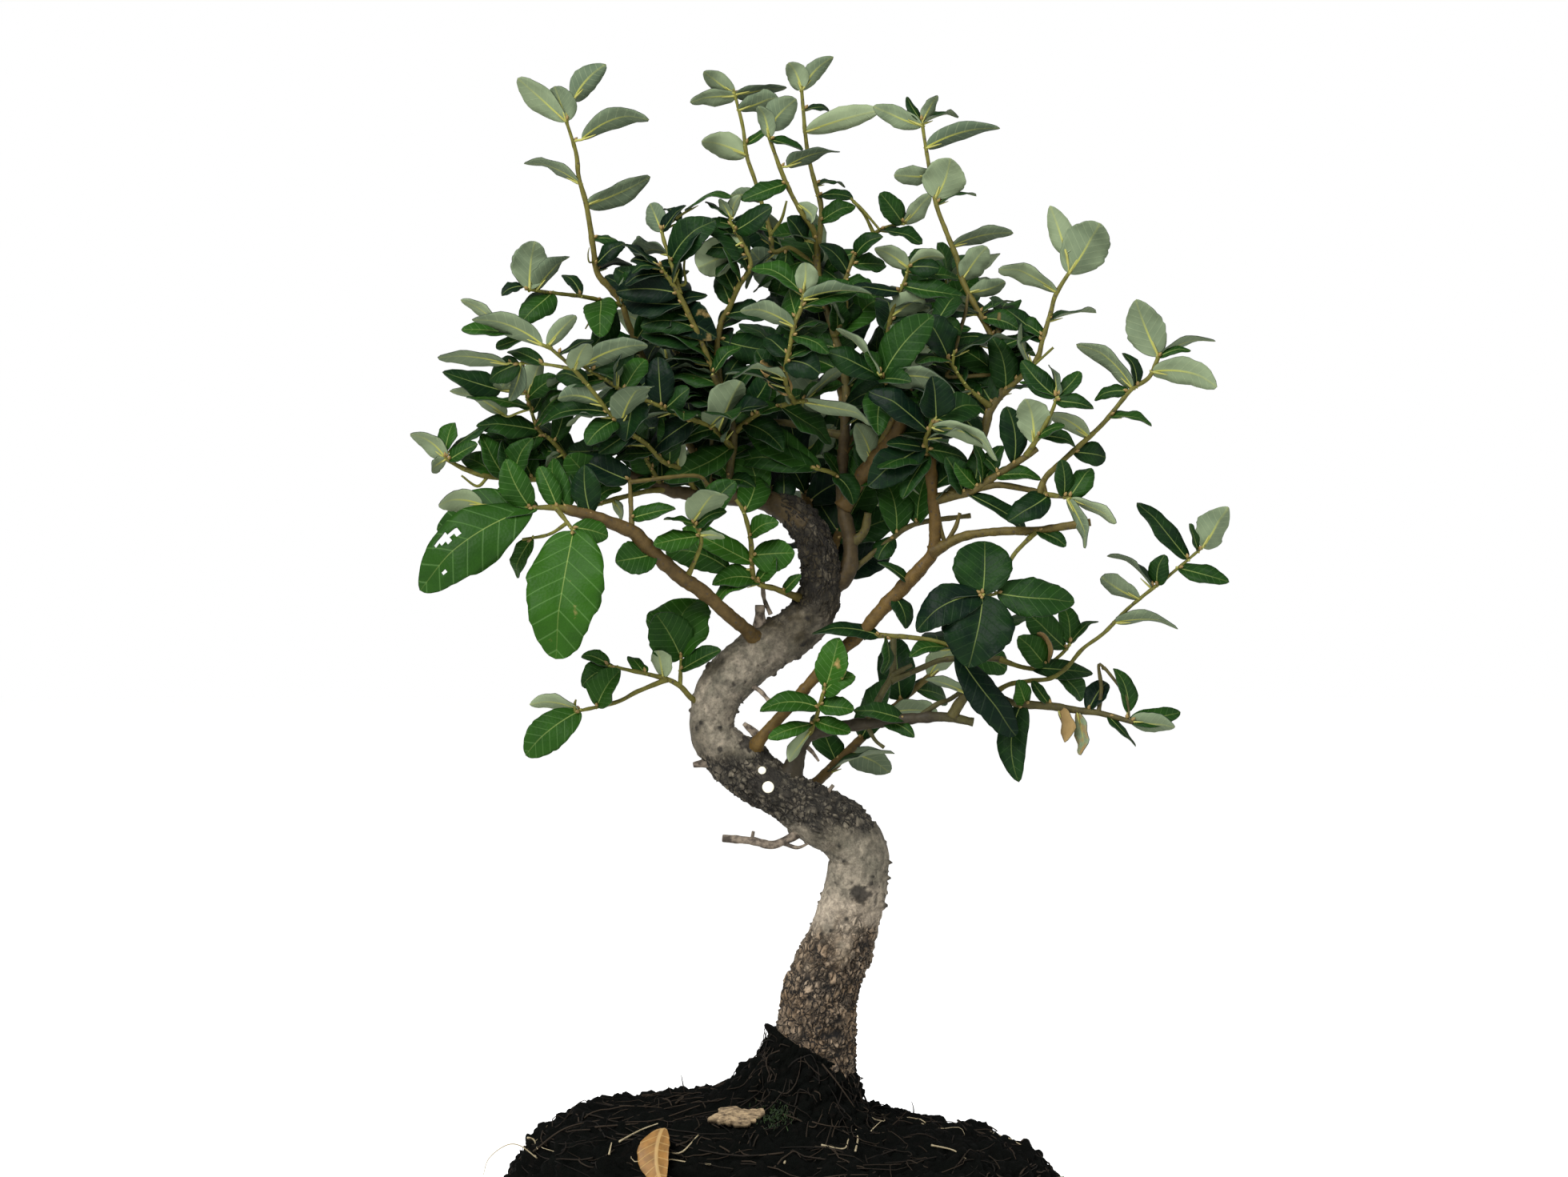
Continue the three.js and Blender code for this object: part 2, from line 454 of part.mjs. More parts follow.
  shoot_right_mid: {
    stems: [
      [[39, -9, 379, 1.6], [40, -12, 388, 1.4], [44, -15, 399, 1.2], [46, -16, 404, 1.1],
        [47, -17, 409, 0.9]],
    ],
    leaves: [
      [46, 407, 34, 415, 7, -60, -5], [47, 407, 58, 407, 7, 60, -4], [47, 409, 60, 411, 5, -45, 4],
      [46, 405, 66, 404, 5, 45, 8], [45, 400, 67, 397, 8, 60, -6], [43, 398, 25, 401, 5, 45, -4],
      [40, 389, 53, 396, 9, -65, -7],
    ],
  },
  shoot_grey_stick: {
    stems: [
      [[77, -22, 355, 1.6], [71, -26, 360, 1.2], [68, -28, 363, 1.1], [62, -30, 372, 1],
        [58, -31, 380, 0.9], [56, -32, 387, 0.8]],
      [[63, -29.5, 370, 0.9], [64, -31, 376, 0.8]],
    ],
    leaves: [[62, 373, 53, 389, 12, 65, -6], [57, 386, 67, 383, 7, 60, 5]],
  },
  shoot_right_tall: {
    stems: [
      [[80, -18, 373, 2], [77, -16, 383, 1.9], [72, -14, 392, 1.8], [67, -12, 402, 1.7],
        [65, -11, 410, 1.6], [61, -10, 420, 1.5], [57, -9, 431, 1.4], [54, -8, 447, 1.2],
        [51.5, -8, 463, 0.9]],
    ],
    leaves: [
      [57, 433, 62, 448, 16, -75, -4], [54, 441, 41, 442, 6.5, -55, -4], [58, 431, 72, 435, 3, 25, 6],
      [54, 452, 81, 459.5, 6.5, -50, -6], [51, 460, 34, 468, 7, -60, 3], [52, 463, 57, 472, 5, -60, -3],
      [51, 463, 46, 471, 4, 60, 3], [52, 461, 65, 465, 2.2, 15, 5], [63, 415, 86, 420, 4.5, -30, 5],
      [68, 403, 76, 415, 9, -60, -4], [70, 398, 83, 402, 7, -60, -6], [74, 390, 86, 395, 2.5, 20, 6],
      [75, 388, 88, 384, 7, 60, -5], [78, 380, 60, 378, 5, 50, -5], [79, 379, 95, 375, 5, 50, 4],
    ],
  },
  shoot_right_lean: {
    stems: [
      [[80, -20, 358, 1.9], [90, -20, 367, 1.7], [95, -19, 373, 1.6], [97, -19, 380, 1.5],
        [100, -18, 390, 1.4], [102, -18, 397, 1.3], [107.5, -18, 406, 1.1]],
      [[90, -20, 367, 1], [101, -23, 377, 0.7]],
    ],
    leaves: [
      [108, 406, 118, 424, 17, -75, -5], [106, 412, 100, 430, 8.5, -65, 5], [102, 398, 81, 409, 5.5, -40, -5],
      [99, 387, 117, 391, 2, 12, 5], [97, 381, 87, 387, 6, 60, 5],
    ],
  },
  shoot_far_right: {
    stems: [
      [[96, -38, 322, 1.8], [98, -37, 328, 1.7], [105, -34, 335, 1.6], [115, -31, 344, 1.5],
        [121, -30, 350, 1.4], [130, -29, 361, 1.3], [137, -28, 366, 1.3], [141, -28, 375, 1.1]],
    ],
    leaves: [
      [130, 363, 111, 379.5, 5, -35, 4], [131, 364, 128, 375, 5, 60, -4], [141, 375, 132, 395, 14, -75, -3],
      [142, 374, 161, 381, 3, -20, 4], [141, 373, 152, 377, 3, 50, -4], [138, 368, 163, 363, 9, -60, -8],
      [129, 361, 116, 358, 5, 55, 4], [122, 351, 138, 349.5, 3.5, 25, -5], [108, 338, 121, 336, 8.5, 65, 5],
      [114, 344, 98, 353, 6, -50, -6],
    ],
  },
  shoot_right_cluster: {
    stems: [
      [[91, -38, 336.5, 1.5], [95, -41, 343, 1.3], [100, -42, 352, 1.1], [103, -43, 360, 0.9]],
    ],
    leaves: [
      [92, 342, 91, 358, 12, -70, -4], [96, 343, 105, 348, 3.5, 30, -6], [97, 343, 110, 341, 6, 55, 4],
      [103, 360, 101, 371, 3, -25, -3], [103, 360, 111, 368, 6, 60, 3], [102, 357, 116, 355, 6, 60, -5],
      [102, 359, 89, 366, 4, 45, 4],
    ],
  },
  shoot_right_lower: {
    stems: [
      [[97, -38, 322, 1.5], [105, -40, 321, 1.2], [109, -41, 320, 0.9]],
    ],
    leaves: [
      [105, 322, 104, 335, 7, 60, -3], [107, 321, 115, 333, 9, 65, 4], [108, 319, 125.5, 312.5, 3, -25, -5],
      [106, 320, 115, 302, 4.5, -40, -6], [99, 320, 84, 313, 10, 65, -6],
    ],
  },
  shoot_star: {
    stems: [
      [[95, -37, 308.5, 1.4], [86, -39, 299, 1.2], [83, -41, 291, 1.1], [80, -43, 285, 1],
        [73, -45, 284, 0.9]],
    ],
    leaves: [
      [73, 285, 75, 305, 21, 80, 5], [73, 284, 54, 283, 4, 20, 6], [73, 284, 50, 272, 14, 70, -6],
      [73, 283, 69, 258, 26, 80, -8], [80, 284, 109, 283, 15, 70, -3],
    ],
  },
  shoot_star_low: {
    stems: [
      [[30, -21, 269, 1.9], [38, -22, 269, 1.5], [50, -25, 268, 1.4], [60, -27, 266, 1.2],
        [66, -28, 262, 1]],
    ],
    leaves: [
      [64, 262, 88, 233, 11.5, 65, -10], [62, 263, 47, 262, 3.5, 25, -5], [36, 270, 11, 271, 6, 50, -6],
      [38, 268, 39, 255, 3.5, 30, -5],
    ],
  },
  shoot_low_right_end: {
    stems: [
      [[77, -20, 246, 1.7], [84, -18, 250.5, 1.4], [92, -17, 252, 1.3], [100, -17, 253, 1.3],
        [106, -17, 257, 1.3], [112, -18, 264, 1.2], [120, -19, 270, 1.2], [130, -20, 280, 1.1],
        [145, -21, 292, 1], [158, -22, 303, 0.8]],
    ],
    leaves: [
      [157, 303, 165, 317, 12, -70, 4], [151, 298, 133.5, 320, 8, 60, 4], [148, 294, 167, 289, 7, 55, -6],
      [155, 301, 152, 311, 3, 40, -4], [138, 287, 122.5, 300.5, 2.2, 12, 5], [140, 288, 142, 299, 7, 60, -4],
      [133, 283, 119, 291.5, 6.5, -55, -5], [124, 274, 148, 274, 4.5, -30, -8],
    ],
  },
  shoot_low_right_cluster: {
    stems: [
      [[81, -9, 260, 1.5], [90, -11, 257, 1.3], [97, -9, 257, 1.2], [104, -6, 262, 1.1],
        [108, -4, 267, 0.9]],
    ],
    leaves: [
      [106, 264, 92, 278, 11, 65, -6], [107, 266, 105, 281, 8, 60, 4], [98, 258, 89, 269, 10, 65, -4],
      [92, 257, 116, 255, 8, 60, 6], [100, 257, 113, 245, 7, 60, 5], [98, 259, 97, 271, 4, -30, -5],
      [108, 266, 117, 276, 3, 30, 5],
    ],
  },
  shoot_trunk_front: {
    stems: [
      [[9, -11, 231, 1.6], [12, -19, 238, 1.3], [14, -24, 245, 1.2], [16, -25, 251, 0.9]],
    ],
    leaves: [
      [13, 242, -9, 241, 8, 60, -5], [16, 251, 20, 268, 12, 70, -3], [15, 247, 26, 254, 8, 60, -6],
      [14, 243, 26, 242, 7, 60, -5], [12, 237, 25, 233, 6, 55, -4], [10, 234, 1, 222, 5, -50, -6],
      [11, 236, -6, 231, 5, 50, -8],
    ],
  },
};

// Sprays behind the trunk, in true places. Each carries leaves all the way round its stem.
const SPRAYS = {
  spray_back_right: [
    [14, 3, 293, 3.4], [24, 24, 312, 2.8], [40, 44, 334, 2.3], [58, 60, 356, 1.8], [74, 70, 374, 1],
  ],
  spray_back_left: [
    [3, 4, 315, 3.2], [-12, 24, 330, 2.7], [-30, 42, 346, 2.3], [-50, 56, 362, 1.8], [-66, 64, 378, 1],
  ],
  spray_back_centre: [
    [10, 4, 308, 3.2], [8, 28, 326, 2.8], [5, 52, 346, 2.4], [2, 74, 368, 1.8], [0, 88, 388, 1],
  ],
  spray_back_top: [
    [23, 8, 352, 2.4], [20, 26, 374, 2.1], [12, 42, 394, 1.8], [6, 52, 410, 1.4], [0, 58, 424, 0.9],
  ],
  spray_back_upper_left: [
    [-24, -2, 322, 2.4], [-32, 20, 344, 2.1], [-42, 34, 366, 1.8], [-48, 44, 386, 1.4], [-50, 50, 402, 0.9],
  ],
  spray_back_upper_right: [
    [22, 7, 338, 2.4], [36, 24, 356, 2.1], [50, 36, 376, 1.8], [60, 44, 394, 1.4], [66, 48, 410, 0.9],
  ],
  spray_back_low_right: [
    [6, -2, 208, 3.4], [22, 18, 222, 2.8], [42, 34, 240, 2.3], [64, 46, 258, 1.8], [84, 54, 272, 1],
  ],
  spray_back_middle: [
    [14, 3, 286, 3], [18, 26, 298, 2.6], [20, 48, 314, 2.2], [24, 68, 332, 1.7], [30, 82, 350, 1],
  ],
};
const SPRAY_LEAVES = 14;
const SPRAY_BARE_PART = 0.3;
const SPRAY_LAST_LEAF = 0.98;
const SPRAY_LEAF_LENGTH = 27;
const SPRAY_LEAF_WIDTH = 14;
// How far a leaf leans away from its stem and along it, the share by which leaves differ in size,
// and the step through that share from one leaf to the next
const SPRAY_LEAF_LEAN = [0.8, 0.6];
const SPRAY_LEAF_VARIATION = 0.3;
const SPRAY_LEAF_STEP = 0.37;
const GOLDEN_ANGLE = 2.39996;

// The soil is a mound. Each ring gives its left and right end, its half depth, and the height at
// its left and right end, from the foot of the trunk out to the rim and down to the pot's floor.
const SOIL_RINGS = [
  [-4, 27, 17, 122, 108], [-11, 30, 22, 111, 95], [-22, 37, 30, 99, 86], [-52, 60, 46, 93, 82.5],
  [-76, 76, 58, 90, 79.5], [-88, 92, 66, 85, 74.5], [-95, 98, 70, 78, 70], [-104, 104, 74.5, 66, 65],
  [-107, 107, 76.6, 57, 57], [-100, 100, 71.6, 24, 24], [-94, 94, 67.3, 16.6, 16.6],
];
const CHIP_OUTLINE = [[-27, -33], [-20, -37], [-9, -35], [-8, -29], [-16, -27], [-25, -28]];
const CHIP_THICKNESS = 3;
const FALLEN_LEAF_OUTLINE = [
  [-46, -64], [-41, -65], [-38, -59], [-39, -53], [-43, -49], [-47, -54], [-48, -60],
];
const FALLEN_LEAF_THICKNESS = 1.2;

const wasm = await Module();
wasm.setup();

// The solid that a closed geometry bounds
function solidOf(geometry) {
  geometry.deleteAttribute('normal');
  geometry.deleteAttribute('uv');
  const merged = mergeVertices(geometry, SAME_POINT);
  return new wasm.Manifold(new wasm.Mesh({
    numProp: 3,
    vertProperties: merged.attributes.position.array,
    triVerts: new Uint32Array(merged.index.array),
  }));
}

function geometryOf(solid) {
  const mesh = solid.getMesh();
  const geometry = new THREE.BufferGeometry();
  geometry.setAttribute('position', new THREE.BufferAttribute(mesh.vertProperties, 3));
  geometry.setIndex(new THREE.BufferAttribute(mesh.triVerts, 1));
  const flat = geometry.toNonIndexed();
  flat.computeVertexNormals();
  return flat;
}

// A closed skin over rings with the same number of points, with a flat fan over each end ring
function skin(rings) {
  const count = rings[0].length;
  const points = rings.flat();
  const index = [];
  for (let r = 0; r < rings.length - 1; r += 1) {
    for (let k = 0; k < count; k += 1) {
      const a = r * count + k;
      const b = r * count + (k + 1) % count;
      index.push(a, b, b + count, a, b + count, a + count);
    }
  }
  const last = (rings.length - 1) * count;
  for (let k = 1; k < count - 1; k += 1) {
    index.push(0, k + 1, k, last, last + k, last + k + 1);
  }
  const geometry = new THREE.BufferGeometry().setFromPoints(points);
  geometry.setIndex(index);
  return geometry;
}

// True place of a point that is given as seen from the front
function seen([x, y, z]) {
  const k = (VIEW_DISTANCE + y) / VIEW_DISTANCE;
  return new THREE.Vector3(x * k, y, EYE_HEIGHT + (z - EYE_HEIGHT) * k);
}

const truePlace = ([x, y, z]) => new THREE.Vector3(x, y, z);

// A tapered stem: a ring of the given radius round each point, square to the curve through them
function stem(rows, place, sides, grow) {
  const points = rows.map(place);
  const curve = new THREE.CatmullRomCurve3(points);
  const across = new THREE.Vector3(0, 1, 0);
  const rings = points.map((point, i) => {
    const along = curve.getTangent(i / (points.length - 1));
    across.addScaledVector(along, -across.dot(along)).normalize();
    const third = new THREE.Vector3().crossVectors(along, across);
    const radius = rows[i][3] + grow;
    return Array.from({ length: sides }, (_, k) => {
      const angle = 2 * Math.PI * k / sides;
      return point.clone()
        .addScaledVector(across, radius * Math.cos(angle))
        .addScaledVector(third, radius * Math.sin(angle));
    });
  });
  return solidOf(skin(rings));
}

// A leaf's blade: its outline laid along the line from base to tip, square to its normal, with a
// point over and a point under its middle
function blade({ base, tip, width, normal }, grow) {
  const along = new THREE.Vector3().subVectors(tip, base).normalize();
  const side = new THREE.Vector3().crossVectors(normal, along).normalize();
  const length = base.distanceTo(tip);
  const at = (s, w, up) => base.clone()
    .addScaledVector(along, s * length)
    .addScaledVector(side, w)
    .addScaledVector(normal, up);
  const left = BLADE_SIDE.map(([s, w]) => at(s, w * width + grow, 0));
  const right = BLADE_SIDE.map(([s, w]) => at(s, -w * width - grow, 0));
  const rim = [at(-grow / length, 0, 0), ...right, at(1 + grow / length, 0, 0), ...left.reverse()];
  const half = BLADE_THICKNESS / 2 + 2 * grow;
  const points = [...rim, at(BLADE_MIDDLE, 0, half), at(BLADE_MIDDLE, 0, -half)];
  const index = rim.flatMap((_, k) => {
    const next = (k + 1) % rim.length;
    return [k, next, rim.length, next, k, rim.length + 1];
  });
  const geometry = new THREE.BufferGeometry().setFromPoints(points);
  geometry.setIndex(index);
  return solidOf(geometry);
}

function leafSolids(leaf, grow) {
  const solids = [blade(leaf, grow)];
  if (leaf.root.distanceTo(leaf.base) > 0) {
    const along = new THREE.Vector3().subVectors(leaf.tip, leaf.base).normalize();
    const end = leaf.base.clone().addScaledVector(along, SHORTEST_STALK);
    const rows = [[...leaf.root.toArray(), STALK_RADIUS], [...end.toArray(), STALK_RADIUS]];
    solids.push(stem(rows, truePlace, STALK_SIDES, grow));
  }
  return solids;
}

// The point of a shoot's stems that looks nearest to a given place in the front view
function nearestOnStems(stems, x, z) {
  let best = null;
  for (const rows of stems) {
    for (let i = 0; i < rows.length - 1; i += 1) {
      const [ax, ay, az] = rows[i];
      const [bx, by, bz] = rows[i + 1];
      const span = (bx - ax) ** 2 + (bz - az) ** 2;
      const last = i === rows.length - 2 ? 1 - STEM_END / Math.sqrt(span) : 1;
      const t = Math.min(last, Math.max(0, ((x - ax) * (bx - ax) + (z - az) * (bz - az)) / span));
      const point = [ax + t * (bx - ax), ay + t * (by - ay), az + t * (bz - az)];
      const away = Math.hypot(x - point[0], z - point[2]);
      if (!best || away < best.away) {
        best = { away, point };
      }
    }
  }
  return best;
}

// A leaf as its row gives it. The turn swings its upper face from up to the front.
function tracedLeaf(stems, [baseX, baseZ, tipX, tipZ, shown, turn, lean]) {
  const { away, point } = nearestOnStems(stems, baseX, baseZ);
  const root = seen(point);
  const base = away < SHORTEST_STALK ? root.clone() : seen([baseX, point[1], baseZ]);
  const tip = seen([tipX, point[1] + lean, tipZ]);
  const along = new THREE.Vector3().subVectors(tip, base).normalize();
  const front = new THREE.Vector3(0, -1, 0);
  front.addScaledVector(along, -front.dot(along)).normalize();
  const up = new THREE.Vector3().crossVectors(along, front);
  if (up.z < 0) {
    up.negate();
  }
  const angle = THREE.MathUtils.degToRad(turn);
  const normal = up.multiplyScalar(Math.cos(angle)).addScaledVector(front, Math.sin(angle));
  const width = shown / Math.max(NARROWEST_TURN, Math.abs(Math.sin(angle)));
  return { root, base, tip, width, normal };
}

// Leaves set round a spray's stem, each a golden angle on from the last, upper face to the sky
function sprayLeaves(rows) {
  const curve = new THREE.CatmullRomCurve3(rows.map(truePlace));
  return Array.from({ length: SPRAY_LEAVES }, (_, i) => {
    const t = SPRAY_BARE_PART + (SPRAY_LAST_LEAF - SPRAY_BARE_PART) * i / (SPRAY_LEAVES - 1);
    const root = curve.getPoint(t);
    const along = curve.getTangent(t);
    const level = new THREE.Vector3(along.y, -along.x, 0).normalize();
    const over = new THREE.Vector3().crossVectors(level, along);
    const turn = i * GOLDEN_ANGLE;
    const away = level.multiplyScalar(Math.cos(turn)).addScaledVector(over, Math.sin(turn));
    const way = away.multiplyScalar(SPRAY_LEAF_LEAN[0]).addScaledVector(along, SPRAY_LEAF_LEAN[1]).normalize();
    const size = 1 - SPRAY_LEAF_VARIATION * ((i * SPRAY_LEAF_STEP) % 1);
    const tip = root.clone().addScaledVector(way, size * SPRAY_LEAF_LENGTH);
    const normal = new THREE.Vector3(0, 0, 1).addScaledVector(way, -way.z).normalize();
    return { root, base: root.clone(), tip, width: size * SPRAY_LEAF_WIDTH, normal };
  });
}

const join = (solids) => wasm.Manifold.union(solids);
const largest = (solid) => solid.decompose().reduce((a, b) => (a.volume() > b.volume() ? a : b));

function near(a, b) {
  const p = a.boundingBox();
  const q = b.boundingBox();
  return [0, 1, 2].every((i) => p.min[i] <= q.max[i] && q.min[i] <= p.max[i]);
}

// What is left of a solid once it keeps clear of the others
function clearOf(solid, others) {
  const close = others.filter((other) => near(solid, other));
  return close.length ? solid.subtract(join(close)) : solid;
}

// An oval body turned from a profile of half width and height, drawn in to the pot's depth
function ovalTurned(profile) {
  const geometry = new THREE.LatheGeometry(profile.map(([x, y]) => new THREE.Vector2(x, y)), POT_SEGMENTS);
  geometry.rotateX(Math.PI / 2);
  geometry.scale(1, POT_DEPTH / POT_WIDTH, 1);
  return solidOf(geometry);
}

function upright(radius, height, x, y, bottom) {
  const geometry = new THREE.CylinderGeometry(radius, radius, height, DRAIN_SEGMENTS);
  geometry.rotateX(Math.PI / 2);
  geometry.translate(x, y, bottom + height / 2);
  return solidOf(geometry);
}

function block(width, depth, height, x, y, bottom) {
  const geometry = new THREE.BoxGeometry(width, depth, height);
  geometry.translate(x, y, bottom + height / 2);
  return solidOf(geometry);
}

function makePot() {
  const wall = [...POT_OUTSIDE, ...POT_INSIDE].map(([inset, height]) => [POT_WIDTH / 2 - inset, height]);
  const body = ovalTurned([[0, FOOT_HEIGHT], ...wall, [0, FLOOR_TOP]]);
  const feet = [];
  for (const sx of [-1, 1]) {
    for (const sy of [-1, 1]) {
      feet.push(block(FOOT_WIDTH, FOOT_DEPTH, FOOT_HEIGHT + OVERRUN, sx * FOOT_X, sy * FOOT_Y, 0));
    }
  }
  const depth = FLOOR_TOP - FOOT_HEIGHT + 2 * OVERRUN;
  const drains = [-1, 1].map((side) => (
    upright(DRAIN_RADIUS, depth, side * DRAIN_OFFSET, 0, FOOT_HEIGHT - OVERRUN)
  ));
  return join([body, ...feet]).subtract(join(drains));
}

function makeDrainMesh(side) {
  const bottom = FLOOR_TOP + GAP;
  const plate = block(DRAIN_MESH_SIZE, DRAIN_MESH_SIZE, DRAIN_MESH_THICKNESS, side * DRAIN_OFFSET, 0, bottom);
  const holes = [];
  for (const i of [-1, 0, 1]) {
    for (const j of [-1, 0, 1]) {
      holes.push(block(
        DRAIN_MESH_OPENING, DRAIN_MESH_OPENING, 3 * DRAIN_MESH_THICKNESS,
        side * DRAIN_OFFSET + i * DRAIN_MESH_PITCH, j * DRAIN_MESH_PITCH, bottom - DRAIN_MESH_THICKNESS,
      ));
    }
  }
  return plate.subtract(join(holes));
}

function makeTrunk(grow) {
  const wood = [stem(TRUNK, seen, TRUNK_SIDES, grow)];
  for (const rows of ROOTS) {
    wood.push(stem(rows, truePlace, ROOT_SIDES, grow));
  }
  for (const rows of TRUNK_STUBS) {
    wood.push(stem(rows, seen, STUB_SIDES, grow));
  }
  return join(wood);
}

function makeSoil(grownTrunk, drainMeshes) {
  const rings = SOIL_RINGS.map(([left, right, depth, leftHeight, rightHeight]) => {
    const middle = (left + right) / 2;
    const half = (right - left) / 2;
    return Array.from({ length: POT_SEGMENTS }, (_, k) => {
      const angle = 2 * Math.PI * k / POT_SEGMENTS;
      const share = (1 + Math.sin(angle)) / 2;
      return new THREE.Vector3(
        middle + half * Math.sin(angle),
        depth * Math.cos(angle),
        leftHeight + share * (rightHeight - leftHeight),
      );
    });
  });
  const below = drainMeshes.map((mesh) => {
    const { min, max } = mesh.boundingBox();
    return block(
      max[0] - min[0] + 2 * GAP, max[1] - min[1] + 2 * GAP, max[2] - FLOOR_TOP + GAP,
      (min[0] + max[0]) / 2, 0, FLOOR_TOP,
    );
  });
  return largest(solidOf(skin(rings)).subtract(join([grownTrunk, ...below])));
}

// A thin thing that lies on the soil and follows it: its outline, seen from above, cut between the
// soil's surface and the same surface raised by its thickness
function lyingOnSoil(outline, thickness, soil) {
  const { min, max } = soil.boundingBox();
  const ring = (z) => outline.map(([x, y]) => new THREE.Vector3(x, y, z));
  const prism = solidOf(skin([ring((min[2] + max[2]) / 2), ring(max[2])]));
  const under = prism.intersect(soil.translate([0, 0, GAP + thickness]));
  return largest(under.subtract(soil.translate([0, 0, GAP])));
}

const tree = new THREE.Group();

function addPiece(name, solid, finish) {
  const material = new THREE.MeshStandardMaterial({ ...finish, metalness: 0 });
  const mesh = new THREE.Mesh(geometryOf(solid), material);
  mesh.name = name;
  tree.add(mesh);
}

addPiece('pot', makePot(), FINISHES.stoneware);
const drainMeshes = [makeDrainMesh(-1), makeDrainMesh(1)];
addPiece('drain_mesh_left', drainMeshes[0], FINISHES.mesh);
addPiece('drain_mesh_right', drainMeshes[1], FINISHES.mesh);

const grownTrunk = makeTrunk(GAP);
const soil = makeSoil(grownTrunk, drainMeshes);
addPiece('soil', soil, FINISHES.peat);
addPiece('trunk', makeTrunk(0), FINISHES.bark);
addPiece('bark_chip', lyingOnSoil(CHIP_OUTLINE, CHIP_THICKNESS, soil), FINISHES.chip);
addPiece('fallen_leaf', lyingOnSoil(FALLEN_LEAF_OUTLINE, FALLEN_LEAF_THICKNESS, soil), FINISHES.deadLeaf);

// Every bough, shoot and spray, as its stems and its leaves
const parts = [];
for (const [name, { stems, leaves }] of Object.entries({ ...BOUGHS, ...SHOOTS })) {
  parts.push({ name, stems, place: seen, leaves: leaves.map((row) => tracedLeaf(stems, row)) });
}
for (const [name, rows] of Object.entries(SPRAYS)) {
  parts.push({ name, stems: [rows], place: truePlace, leaves: sprayLeaves(rows) });
}

// First all the wood, each piece clear of what it grows from, then the leaves, clear of all wood
// and of the leaves before them
const grownWood = [grownTrunk];
for (const part of parts) {
  const sides = part.name.startsWith('branch') ? BOUGH_SIDES : SHOOT_SIDES;
  const wood = join(part.stems.map((rows) => stem(rows, part.place, sides, 0)));
  part.wood = largest(clearOf(wood, grownWood));
  part.grownWood = join(part.stems.map((rows) => stem(rows, part.place, sides, GAP)));
  grownWood.push(part.grownWood);
}
const grownLeaves = [];
for (const part of parts) {
  let whole = part.wood;
  if (part.leaves.length) {
    const foliage = join(part.leaves.flatMap((leaf) => leafSolids(leaf, 0)));
    const others = grownWood.filter((solid) => solid !== part.grownWood);
    whole = largest(join([part.wood, clearOf(foliage, [...others, ...grownLeaves])]));
    grownLeaves.push(join(part.leaves.flatMap((leaf) => leafSolids(leaf, GAP))));
  }
  const branch = part.name.startsWith('branch');
  addPiece(part.name, whole, branch ? FINISHES.wood : FINISHES.shoot);
}

// The part's origin is the middle of its outside box, on the surface that the pot stands on
const box = new THREE.Box3().setFromObject(tree);
const middle = box.getCenter(new THREE.Vector3());
tree.position.set(-middle.x, -middle.y, -box.min.z);

export default tree;
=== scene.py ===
import math

import bpy
import numpy as np
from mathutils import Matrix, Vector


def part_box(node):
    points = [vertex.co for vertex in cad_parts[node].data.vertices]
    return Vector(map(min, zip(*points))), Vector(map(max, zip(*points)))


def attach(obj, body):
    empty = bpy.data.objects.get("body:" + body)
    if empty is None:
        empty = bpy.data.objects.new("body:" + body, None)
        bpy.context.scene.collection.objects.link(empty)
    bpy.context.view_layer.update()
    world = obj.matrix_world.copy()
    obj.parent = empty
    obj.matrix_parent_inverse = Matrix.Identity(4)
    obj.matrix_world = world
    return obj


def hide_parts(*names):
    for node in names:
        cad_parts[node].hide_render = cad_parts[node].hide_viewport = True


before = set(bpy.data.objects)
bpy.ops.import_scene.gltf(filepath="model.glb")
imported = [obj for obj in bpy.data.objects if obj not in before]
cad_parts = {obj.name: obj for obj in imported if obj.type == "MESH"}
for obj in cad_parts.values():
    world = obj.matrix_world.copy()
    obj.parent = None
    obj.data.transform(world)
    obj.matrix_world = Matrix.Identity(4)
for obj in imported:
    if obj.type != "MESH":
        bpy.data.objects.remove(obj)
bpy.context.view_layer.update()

# Studio. A wide pale floor under an even white sky, a broad soft lamp high in front and a weak one at
# the right, and a camera one metre in front of the trunk. Lengths in this file are in millimetres from
# the middle of the pot's foot, and metres() turns them into the frame's own places.
MM = 0.001
VIEW_DISTANCE = 1000
EYE_HEIGHT = 286.65
VIEW_WIDTH = 588
FILM_WIDTH = 36
pot_low, pot_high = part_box("pot")
POT_CENTRE = np.array([(pot_low.x + pot_high.x) / 2, (pot_low.y + pot_high.y) / 2, pot_low.z])


def metres(points):
    """Places in the frame, in metres, of points in millimetres from the middle of the pot's foot."""
    return np.asarray(points, float) * MM + POT_CENTRE


def linear(code):
    """The linear colour of an sRGB hex value: near black each part over 12.92, and above that the
    part with 0.055 added, over 1.055, to the power 2.4."""
    parts = np.array([int(code[k:k + 2], 16) for k in (1, 3, 5)]) / 255
    parts = np.where(parts <= 0.04045, parts / 12.92, ((parts + 0.055) / 1.055) ** 2.4)
    return (*parts.tolist(), 1.0)


def socket_name(key):
    """The name of a shader's input, from the same name in lower case with underscores."""
    return key.replace("_", " ").title().replace("Ior", "IOR")


def add(tree, kind, settings=None, **inputs):
    """Adds a node with its settings. Inputs are named in lower case, or in0, in1 ... by number. A
    socket, or a node by its first output, is linked, and any other value is written in its place."""
    made = tree.nodes.new("ShaderNode" + kind)
    for key, value in (settings or {}).items():
        setattr(made, key, value)
    for key, value in inputs.items():
        numbered = key[:2] == "in" and key[2:].isdigit()
        socket = made.inputs[int(key[2:]) if numbered else socket_name(key)]
        if isinstance(value, bpy.types.Node):
            value = value.outputs[0]
        if isinstance(value, bpy.types.NodeSocket):
            tree.links.new(value, socket)
        else:
            socket.default_value = value
    return made


